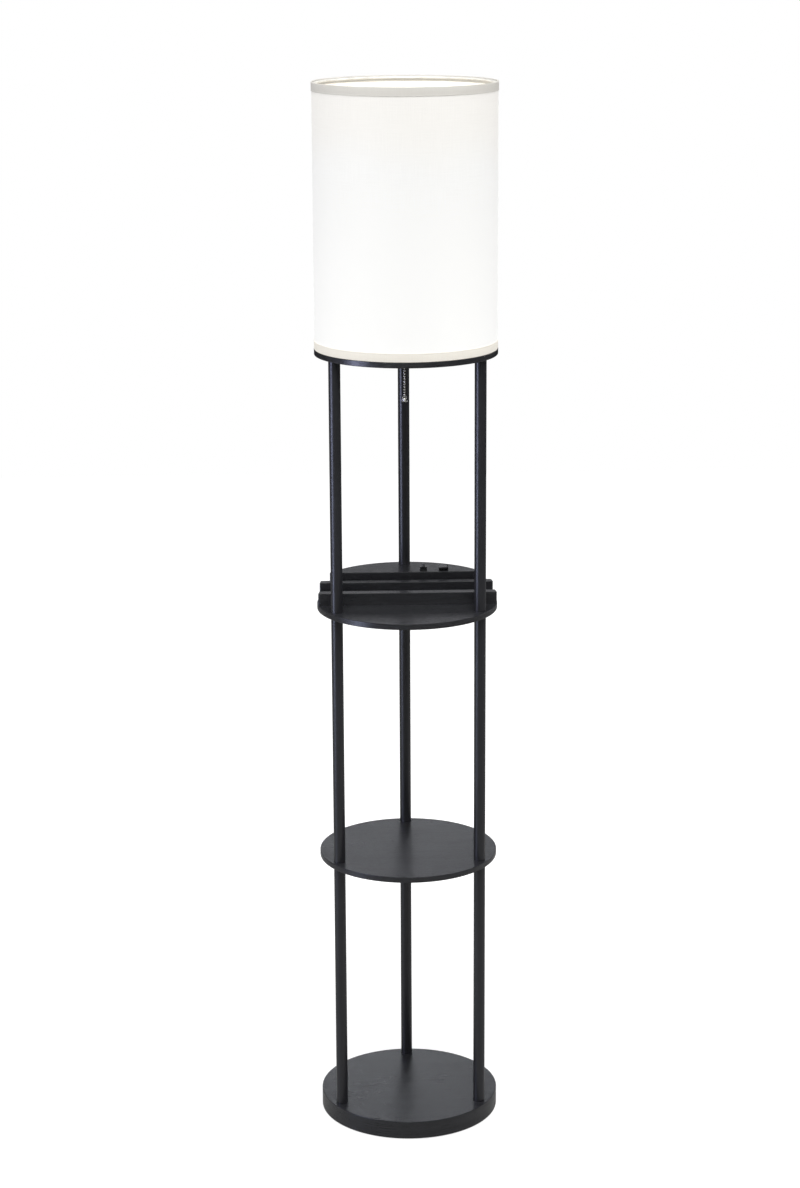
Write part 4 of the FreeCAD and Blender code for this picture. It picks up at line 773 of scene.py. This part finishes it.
# ---------------------------------------------------------------- the shade
@dataclass
class DrumShade:
    """The cloth drum, its liner and its two folded trims."""

    finishes: Finishes
    cloth_inside: float = 125.72 * MM
    cloth_thickness: float = 0.34 * MM
    liner_inside: float = 125.22 * MM
    liner_gap: float = 0.02 * MM
    lap: float = 9.0 * MM
    seam: float = math.radians(97.0)
    trim_outside: float = 126.95 * MM
    trim_inside: float = 124.45 * MM
    trim_drop: float = 12.0 * MM
    trim_drop_inside: float = 8.0 * MM
    tape: float = 0.45 * MM
    tape_round: float = 0.55 * MM
    tape_set_in: float = 0.22 * MM
    tape_lap: float = 0.18 * MM
    hem_proud: float = 0.10 * MM
    hem_inside: float = 0.12 * MM
    hem_height: float = 1.1 * MM
    hem_end: float = 1.9 * MM
    pucker: float = 0.05 * MM
    ripple: float = 0.16 * MM
    waver: float = 0.11 * MM
    lap_ramp: float = 0.12
    lap_gap: float = 0.03 * MM
    rows: int = 30

    def __post_init__(self) -> None:
        """Reads the drum's ends from the frame."""
        low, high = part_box("shade_drum")
        self.bottom = low[2]
        self.top = high[2]
        self.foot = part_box("shade_bottom_trim")[0][2]
        self.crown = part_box("shade_top_trim")[1][2]

    def build(self) -> None:
        """Makes the cloth, the liner and both trims."""
        self.cloth()
        self.liner()
        self.trim("shade_top_trim_tape", self.crown, -1.0, 1.3, "shade_top_trim", TRIM_CLOTH)
        self.trim("shade_bottom_trim_tape", self.foot, 1.0, 7.1, "shade_bottom_trim", LOW_TRIM_CLOTH)

    def cloth(self) -> None:
        """Makes the cloth, lapped over itself at the seam."""
        around = self.cloth_inside + self.cloth_thickness
        sweep = 2 * math.pi + self.lap / around

        def section(swept: float) -> Outline:
            """The cloth's thin section, lifted where it lies on its own start."""
            onto = (swept - 2 * math.pi + self.lap_ramp) / self.lap_ramp
            lift = (self.cloth_thickness + self.lap_gap) * smooth(onto)
            inner = self.wall(swept, self.cloth_inside + lift)
            return [(r + self.cloth_thickness, z) for r, z in inner] + inner[::-1]

        piece = wound("shade_cloth", section, self.seam, sweep, 420, around)
        self.finishes.put_on(piece, CLOTH)
        settle(piece, Body.LAMP, "shade_fabric", "shade_drum")

    def sway(self, swept: float, z: float) -> float:
        """How far the drum's wall wanders from a true cylinder at a place."""
        turned = swept + self.seam
        value = noise.noise(Vector((math.cos(turned) * 2.1, math.sin(turned) * 2.1, z * 5.0)))
        return self.waver * value

    def wall(self, swept: float, radius: float) -> Outline:
        """The drum's upright line at an angle, from the bottom to the top."""
        heights = (self.bottom + (self.top - self.bottom) * index / self.rows
                   for index in range(self.rows + 1))
        return [(radius + self.sway(swept, z), z) for z in heights]

    def liner(self) -> None:
        """Makes the stiff liner inside the cloth."""
        thickness = self.cloth_inside - self.liner_inside

        def section(swept: float) -> Outline:
            """The liner's thin section, just clear of the cloth."""
            outer = self.wall(swept, self.cloth_inside - self.liner_gap)
            return outer + [(r - thickness, z) for r, z in outer[::-1]]

        piece = wound("shade_liner", section, self.seam, 2 * math.pi, 240, self.cloth_inside)
        self.finishes.put_on(piece, LINER)
        settle(piece, Body.LAMP, "shade_fabric")

    def trim(self, name: str, edge: float, inward: float, seed: float, node: str, finish: WovenCloth) -> None:
        """Makes a folded tape over one end of the drum.

        Args:
            name: The piece's name.
            edge: The height of the fold.
            inward: -1 at the top and 1 at the bottom.
            seed: Where its puckers start in the noise.
            node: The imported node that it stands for.
            finish: The tape's cloth.
        """
        wall_out = self.trim_outside
        wall_in = self.trim_inside
        tape = self.tape
        lap_angle = self.lap / wall_out

        def section(swept: float) -> Outline:
            """The tape's folded section, with its turned hem and small puckers."""
            where = Vector((math.cos(swept) * 24.0, math.sin(swept) * 24.0, seed))
            drop = self.trim_drop + self.ripple * noise.noise(where * 0.35 + Vector((3.0, 1.0, 0.0)))
            lap = self.tape_lap if swept < lap_angle else 0.0
            out = wall_out - self.tape_set_in + self.pucker * noise.noise(where) + lap
            corners = [(out - tape - self.hem_inside, drop), (out + self.hem_proud, drop),
                       (out + self.hem_proud, drop - self.hem_height),
                       (out - 0.02 * MM, drop - self.hem_end), (out, 0.0), (wall_in, 0.0),
                       (wall_in, self.trim_drop_inside), (wall_in + tape, self.trim_drop_inside),
                       (wall_in + tape, tape * 1.6), (out - tape, tape * 1.6)]
            corners = [(r, edge + inward * depth) for r, depth in corners]
            return rounded(corners[::-1] if inward > 0 else corners, self.tape_round)

        piece = wound(name, section, self.seam, 2 * math.pi, 360, wall_out)
        self.finishes.put_on(piece, finish)
        settle(piece, Body.LAMP, "shade_trim", node)


def smooth(value: float) -> float:
    """A smooth step from 0 to 1."""
    t = min(1.0, max(0.0, value))
    return t * t * (3 - 2 * t)


# ---------------------------------------------------------------- the pull chain
@dataclass
class BallChain:
    """Ball chain with its bell, in three bodies as the frame has it."""

    finishes: Finishes
    reach: float = 20.2 * MM
    azimuth: float = math.radians(261.5)
    bead: float = 1.5 * MM
    link: float = 0.42 * MM
    lip: float = 0.38
    lip_thickness: float = 0.09
    lip_height: float = 0.90
    link_above: float = 1.9 * MM
    link_below: float = 1.7 * MM
    upper_top: float = 1156.4 * MM
    upper_bottom: float = 1120.5 * MM
    hook_bead: float = 1162.6 * MM
    swivel: float = 1116.8 * MM
    lower_top: float = 1113.1 * MM
    lower_bottom: float = 1065.1 * MM
    bell_bottom: float = 1055.5 * MM
    upper_beads: int = 11
    lower_beads: int = 14

    def build(self) -> None:
        """Makes the three lengths of chain and the bell."""
        x = self.reach * math.cos(self.azimuth)
        y = self.reach * math.sin(self.azimuth)
        upper = self.run("chain_upper_beads", (x, y, self.upper_top), self.upper_beads,
                         (self.upper_top - self.upper_bottom) / (self.upper_beads - 1),
                         self.hook_bead - self.upper_top, self.link_above)
        settle(upper, Body.PULL_CHAIN, "nickel", "pull_chain_upper")
        swivel = self.run("chain_swivel_bead", (x, y, self.swivel), 1, 0.0, 0.0, 0.0)
        settle(swivel, Body.SWIVEL, "nickel", "pull_chain_swivel_bead")
        lower = self.run("chain_lower_beads", (x, y, self.lower_top), self.lower_beads,
                         (self.lower_top - self.lower_bottom) / (self.lower_beads - 1), self.link_above,
                         self.link_below)
        settle(lower, Body.DROP, "nickel", "pull_chain_lower")
        self.bell((x, y))

    def run(self, name: str, top: Point, count: int, pitch: float, above: float,
            below: float) -> bpy.types.Object:
        """Makes a straight run of beads on links.

        Args:
            name: The piece's name.
            top: The first bead's centre.
            count: The number of beads.
            pitch: The step from bead to bead.
            above: How far the link goes on above the first bead, to a further bead if it reaches one.
            below: How far the link goes on below the last bead.

        Returns:
            The run as one mesh.
        """
        tree = RepeatTree(name)
        radius = tree.size("Bead radius", "NodeSocketFloat", self.bead)
        link = tree.size("Link radius", "NodeSocketFloat", self.link)
        number = tree.size("Bead count", "NodeSocketInt", count)
        step = tree.size("Pitch", "NodeSocketFloat", pitch)
        start = tree.size("First bead", "NodeSocketVector", top)
        drop = tree.add("ShaderNodeCombineXYZ", {2: tree.times(step, -1.0)}).outputs[0]
        places = tree.add("GeometryNodeMeshLine", {"Count": number, "Start Location": start, "Offset": drop})
        shell = tree.add("GeometryNodeMeshUVSphere",
                         {"Segments": 24, "Rings": 14, "Radius": radius}).outputs[0]
        lip_path, lip_wire = (
            tree.add("GeometryNodeCurvePrimitiveCircle", {"Resolution": sides, "Radius": tree.times(
                radius, share)}).outputs[0] for sides, share in ((20, self.lip), (8, self.lip_thickness)))
        lip = tree.add("GeometryNodeCurveToMesh", {0: lip_path, 1: lip_wire}).outputs[0]
        lips = [tree.moved(lip, tree.add("ShaderNodeCombineXYZ", {2: tree.times(radius, height)}).outputs[0])
                for height in (-self.lip_height, self.lip_height)]
        bead = tree.join(shell, *lips)
        beads = tree.add("GeometryNodeInstanceOnPoints", {"Points": places.outputs[0], "Instance": bead})
        parts = [beads.outputs[0]]
        length = above + pitch * (count - 1) + below
        if length > 0:
            middle = (top[0], top[1], top[2] + above - length / 2)
            wire = tree.add("GeometryNodeMeshCylinder", {"Vertices": 12, "Radius": link, "Depth": length})
            parts.append(tree.moved(wire.outputs[0], middle))
        if above > 2 * self.bead:
            parts.append(tree.moved(bead, (top[0], top[1], top[2] + above)))
        return tree.piece(name, tree.join(*parts), self.finishes.material(NICKEL))

    def bell(self, centre: tuple[float, float]) -> None:
        """Makes the bell-shaped grip that closes the chain."""
        outline = [(0.0, 3.1), (1.4, 3.0), (2.6, 2.2), (3.35, 0.75), (3.55, 0.12), (3.8, 0.0), (4.12, 0.22),
                   (4.2, 0.62), (4.1, 1.0), (3.86, 1.2), (3.72, 1.9), (3.62, 3.0), (3.42, 4.2), (3.05, 5.2),
                   (2.62, 5.9), (2.34, 6.25), (2.3, 6.5), (2.46, 6.72), (2.46, 7.05), (2.28, 7.3),
                   (2.05, 7.72), (1.5, 7.95), (0.0, 8.0)]
        points = [(r * MM, self.bell_bottom + z * MM) for r, z in outline]
        piece = lathe("bell_grip", points, centre, 48, 60.0)
        self.finishes.put_on(piece, NICKEL)
        settle(piece, Body.DROP, "nickel", "bell_pull")


# ---------------------------------------------------------------- fittings and wiring
@dataclass
class Fittings:
    """The small pieces on the charger, the felt and the lead in the shade."""

    finishes: Finishes
    contact_width: float = 1.0 * MM
    contact_length: float = 6.2 * MM
    contact_pitch: float = 2.2 * MM
    contact_thickness: float = 0.12 * MM
    lead_diameter: float = 4.0 * MM
    lead_length: float = 0.49
    spring_wire: float = 0.4 * MM
    spring_turns: int = 5
    button_travel: float = 1.5 * MM

    def build(self) -> None:
        """Makes the port's contacts, the button's spring, the felt and the lead."""
        self.contacts()
        self.spring()
        self.felt()
        self.lead()

    def contacts(self) -> None:
        """Lays four plated contacts under the port's tongue."""
        low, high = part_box("usb_port_tongue")
        tree = RepeatTree("port_contacts")
        number = tree.size("Contacts", "NodeSocketInt", 4)
        pitch = tree.size("Pitch", "NodeSocketFloat", self.contact_pitch)
        size = tree.size("Contact size", "NodeSocketVector",
                         (self.contact_width, self.contact_length, self.contact_thickness))
        first = ((low[0] + high[0]) / 2 - 1.5 * self.contact_pitch,
                 low[1] + 0.7 * MM + self.contact_length / 2, low[2] - self.contact_thickness * 0.4)
        step = tree.add("ShaderNodeCombineXYZ", {0: pitch}).outputs[0]
        places = tree.add("GeometryNodeMeshLine", {"Count": number, "Start Location": first, "Offset": step})
        strip = tree.add("GeometryNodeMeshCube", {"Size": size}).outputs[0]
        strips = tree.add("GeometryNodeInstanceOnPoints", {"Points": places.outputs[0], "Instance": strip})
        piece = tree.piece("port_contacts", strips.outputs[0], self.finishes.material(GOLD_CONTACT))
        settle(piece, Body.LAMP, "brass")

    def spring(self, steps: int = 120, sides: int = 12) -> None:
        """Winds the button's spring, whose turns close up as the button goes in.

        Args:
            steps: The number of steps along the wire.
            sides: The number of sides of the wire.
        """
        low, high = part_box("button_spring")
        middle = Vector(((low[0] + high[0]) / 2, (low[1] + high[1]) / 2, low[2]))
        height = high[2] - low[2]
        thick = self.spring_wire / 2
        radius = (high[0] - low[0]) / 2 - thick
        points: list[Point] = []
        for index in range(steps + 1):
            angle = 2 * math.pi * self.spring_turns * index / steps
            outward = Vector((math.cos(angle), math.sin(angle), 0.0))
            centre = middle + outward * radius
            centre.z += thick + (height - 2 * thick) * index / steps
            for side in range(sides):
                turn = 2 * math.pi * side / sides
                points.append(tuple(centre + outward * thick * math.cos(turn)
                                    + Vector((0.0, 0.0, thick * math.sin(turn)))))
        faces: list[list[int]] = [list(range(sides)), [steps * sides + k for k in range(sides)][::-1]]
        for index in range(steps):
            for k in range(sides):
                after = (k + 1) % sides
                faces.append([index * sides + after, index * sides + k,
                              (index + 1) * sides + k, (index + 1) * sides + after])
        piece = mesh_object("button_spring_wire", points, faces, sharp=60.0)
        self.finishes.put_on(piece, SPRING_STEEL)
        settle(piece, Body.LAMP, "spring_steel", "button_spring")
        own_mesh(piece)

    def felt(self) -> None:
        """Makes the felt under the base."""
        low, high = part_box("base_pad")
        radius = high[0]
        edge = 0.35 * MM
        outline = [(0.0, low[2]), (radius * 0.5, low[2]), (radius - edge * 2, low[2]),
                   (radius - edge * 0.6, low[2] + edge * 0.3), (radius - edge * 0.1, low[2] + edge),
                   (radius, (low[2] + high[2]) / 2),
                   (radius - edge * 0.2, high[2]), (radius - edge * 2, high[2]), (0.0, high[2])]
        piece = lathe("felt_pad", outline, segments=160, sharp=60.0)
        self.finishes.put_on(piece, FELT)
        settle(piece, Body.LAMP, "felt", "base_pad")

    def lead(self) -> None:
        """Makes the lead from the charger, up the rear post and over the plate to the lampholder."""
        route = [(0.0, 86.0, 783.0), (0.0, 115.0, 783.0), (0.0, 115.0, 809.0), (0.0, 115.0, 1109.5),
                 (0.0, 115.0, 1141.5), (0.0, 85.0, 1129.5), (0.0, 46.0, 1129.5), (0.0, 15.0, 1140.5)]
        curve = bpy.data.curves.new("lamp_lead_line", "CURVE")
        curve.dimensions = "3D"
        curve.bevel_depth = self.lead_diameter / 2
        curve.bevel_resolution = 5
        curve.resolution_u = 16
        curve.use_fill_caps = True
        line = curve.splines.new("NURBS")
        line.points.add(len(route) - 1)
        for point, (x, y, z) in zip(line.points, route):
            point.co = (x * MM, y * MM, z * MM, 1.0)
        line.order_u = 3
        line.use_endpoint_u = True
        piece = linked("lamp_lead_line", curve)
        self.finishes.put_on(piece, LEAD_PVC)
        settle(piece, Body.LAMP, "lead_pvc", "lamp_lead")


# ---------------------------------------------------------------- carried-over pieces
def dress_frame(frame: dict, finishes: Finishes) -> None:
    """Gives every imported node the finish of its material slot.

    Args:
        finishes: Where the materials come from.
    """
    slots = {entry["node"]: entry["material_slot"] for entry in frame["record"]["subparts"]}
    for node, piece in frame["nodes"].items():
        material = finishes.material(FINISH_OF_SLOT[slots[node]])
        for index in range(len(piece.material_slots)):
            piece.material_slots[index].material = material
        LOG.info("node %s: %s", node, material.name)


# ---------------------------------------------------------------- studio
@dataclass(frozen=True)
class SoftLamp:
    """A rectangular studio lamp that is turned towards a point."""

    name: str
    place: Point
    size: tuple[float, float]
    power: float
    colour: Colour
    reach: Reach
    aim: Point = (0.0, 0.0, 0.75)

    def build(self) -> None:
        """Adds the lamp to the scene."""
        data = bpy.data.lights.new(self.name, "AREA")
        data.shape = "RECTANGLE"
        data.size, data.size_y = self.size
        data.energy = self.power
        data.color = self.colour
        light = linked(self.name, data)
        light.location = self.place
        light.rotation_euler = (Vector(self.aim) - Vector(self.place)).to_track_quat("-Z", "Y").to_euler()
        light.visible_camera = False
        light.visible_diffuse, light.visible_glossy = self.reach.value


@dataclass
class Studio:
    """The plain floor, the lamps, the world and the camera."""

    camera_place: Point = (-0.1219, -3.68226, 1.72673)
    camera_turn: Point = (75.53759, 0.28417, -1.81359)
    lens: float = 81.741
    floor_size: float = 9.0
    floor_albedo: float = 0.36
    shadow_start: float = 0.12
    shadow_reach: float = 1.0
    shadow_level: float = 0.80
    mirrored_floor: float = 0.10
    dim_level: float = 0.14
    lamps: tuple[SoftLamp, ...] = (
        SoftLamp("over_front", (0.0, -1.5, 3.6), (2.4, 1.6), 108.0, (1.0, 1.0, 0.98), Reach.MATT,
                 (0.0, 0.0, 0.8)),
        SoftLamp("side_left", (-2.6, 0.1, 1.45), (1.4, 1.0), 26.0, (0.97, 0.98, 1.0), Reach.MATT,
                 (0.0, 0.0, 1.3)),
        SoftLamp("side_right", (2.6, 0.1, 1.45), (1.4, 1.0), 24.0, (1.0, 0.99, 0.97), Reach.MATT,
                 (0.0, 0.0, 1.3)),
        SoftLamp("shelf_glint", (0.0, -1.6, 1.9), (1.6, 0.8), 14.0, (0.95, 1.0, 0.96), Reach.GLOSS,
                 (0.0, 0.0, 0.8)),
        SoftLamp("strip_left", (-2.1, -1.0, 1.12), (0.75, 1.5), 29.0, (0.64, 0.66, 1.0), Reach.GLOSS),
        SoftLamp("strip_left_low", (-2.1, -1.0, 0.35), (0.75, 0.7), 9.0, (0.62, 0.73, 1.0), Reach.GLOSS,
                 (0.0, 0.0, 0.35)),
        SoftLamp("strip_back", (0.0, 2.9, 0.40), (0.9, 0.8), 8.0, (0.9, 0.94, 1.0), Reach.GLOSS,
                 (0.0, 0.0, 0.4)),
        SoftLamp("over_back", (0.3, 2.6, 2.0), (1.6, 1.0), 26.0, (1.0, 1.0, 0.98), Reach.MATT),
    )
    backdrop: tuple[tuple[float, float], ...] = ((0.0, 0.0), (0.12, 0.03), (0.20, 1.0), (0.26, 0.62),
                                                 (0.33, 0.46), (0.42, 0.03), (0.75, 0.0), (1.0, 0.6))

    def build(self) -> None:
        """Sets up everything round the lamp."""
        self.world()
        self.floor()
        for lamp in self.lamps:
            lamp.build()
        self.camera()
        bpy.context.scene.view_settings.view_transform = "Standard"

    def world(self) -> None:
        """White for the camera, a backdrop that is brightest near the horizon in gloss, dim for the rest."""
        world = bpy.data.worlds.new("studio")
        bpy.context.scene.world = world
        world.use_nodes = True
        s = Nodes(world.node_tree)
        place = s.add("ShaderNodeTexCoord").outputs["Generated"]
        height = s.add("ShaderNodeSeparateXYZ", {0: place}).outputs[2]
        ramp = s.add("ShaderNodeValToRGB", {0: height})
        bar = ramp.color_ramp
        while len(bar.elements) < len(self.backdrop):
            bar.elements.new(0.5)
        for element, (where, level) in zip(bar.elements, self.backdrop):
            element.position = where
            element.color = (level, level * 1.01, level * 1.06, 1.0)
        rays = s.add("ShaderNodeLightPath").outputs
        mirrored = s.math("MAXIMUM", rays["Is Glossy Ray"], rays["Is Transmission Ray"])
        dim = s.add("ShaderNodeBackground", {0: (self.dim_level, self.dim_level, self.dim_level * 1.03, 1.0)})
        glossy = s.add("ShaderNodeBackground", {0: ramp.outputs[0]})
        white = s.add("ShaderNodeBackground", {0: (1.0, 1.0, 1.0, 1.0)})
        inner = s.add("ShaderNodeMixShader", {0: mirrored, 1: dim.outputs[0], 2: glossy.outputs[0]})
        outer = s.add("ShaderNodeMixShader", {0: rays["Is Camera Ray"], 1: inner.outputs[0],
                                              2: white.outputs[0]})
        s.add("ShaderNodeOutputWorld", {0: outer.outputs[0]})

    def floor(self) -> None:
        """A wide pale floor that shows white and keeps the lamp's soft shadow."""
        half = self.floor_size / 2
        piece = mesh_object("studio_floor", [(-half, -half, 0.0), (half, -half, 0.0), (half, half, 0.0),
                                             (-half, half, 0.0)], [(0, 1, 2, 3)])
        s = Sketch("floor_white")
        level = self.floor_albedo
        matt = s.add("ShaderNodeBsdfDiffuse", {"Color": (level, level, level, 1.0)})
        x, y, _ = s.split(s.place())
        # The camera sees a floor glow that is dimmer near the lamp's foot: painted shade, added to the real
        # shadow in the matt part.
        strength = s.span(s.radius(x, y), self.shadow_start, self.shadow_reach, self.shadow_level, 1.0)
        rays = s.add("ShaderNodeLightPath").outputs
        mirrored = s.times(s.math("MAXIMUM", rays["Is Glossy Ray"], rays["Is Transmission Ray"]),
                          self.mirrored_floor)
        shown = s.times(s.math("MAXIMUM", rays["Is Camera Ray"], mirrored), strength)
        seen = s.add("ShaderNodeEmission", {"Color": (1.0, 1.0, 1.0, 1.0), "Strength": shown})
        both = s.add("ShaderNodeAddShader", {0: matt.outputs[0], 1: seen.outputs[0]})
        s.add("ShaderNodeOutputMaterial", {"Surface": both.outputs[0]})
        piece.data.materials.append(s.material)

    def camera(self) -> None:
        """Puts the camera where the photograph was taken from."""
        data = bpy.data.cameras.new("photo_camera")
        data.lens = self.lens
        data.sensor_width = 36.0
        data.clip_end = 50.0
        camera = linked("photo_camera", data)
        camera.location = self.camera_place
        camera.rotation_euler = [math.radians(angle) for angle in self.camera_turn]
        bpy.context.scene.camera = camera


def main() -> None:
    """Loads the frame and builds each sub-assembly."""
    logging.basicConfig(level=logging.INFO, format="%(name)s: %(message)s")
    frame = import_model()
    finishes = Finishes()
    Studio().build()
    dress_frame(frame, finishes)
    DrumShade(finishes).build()
    BallChain(finishes).build()
    Fittings(finishes).build()


if __name__ == "__main__":
    main()
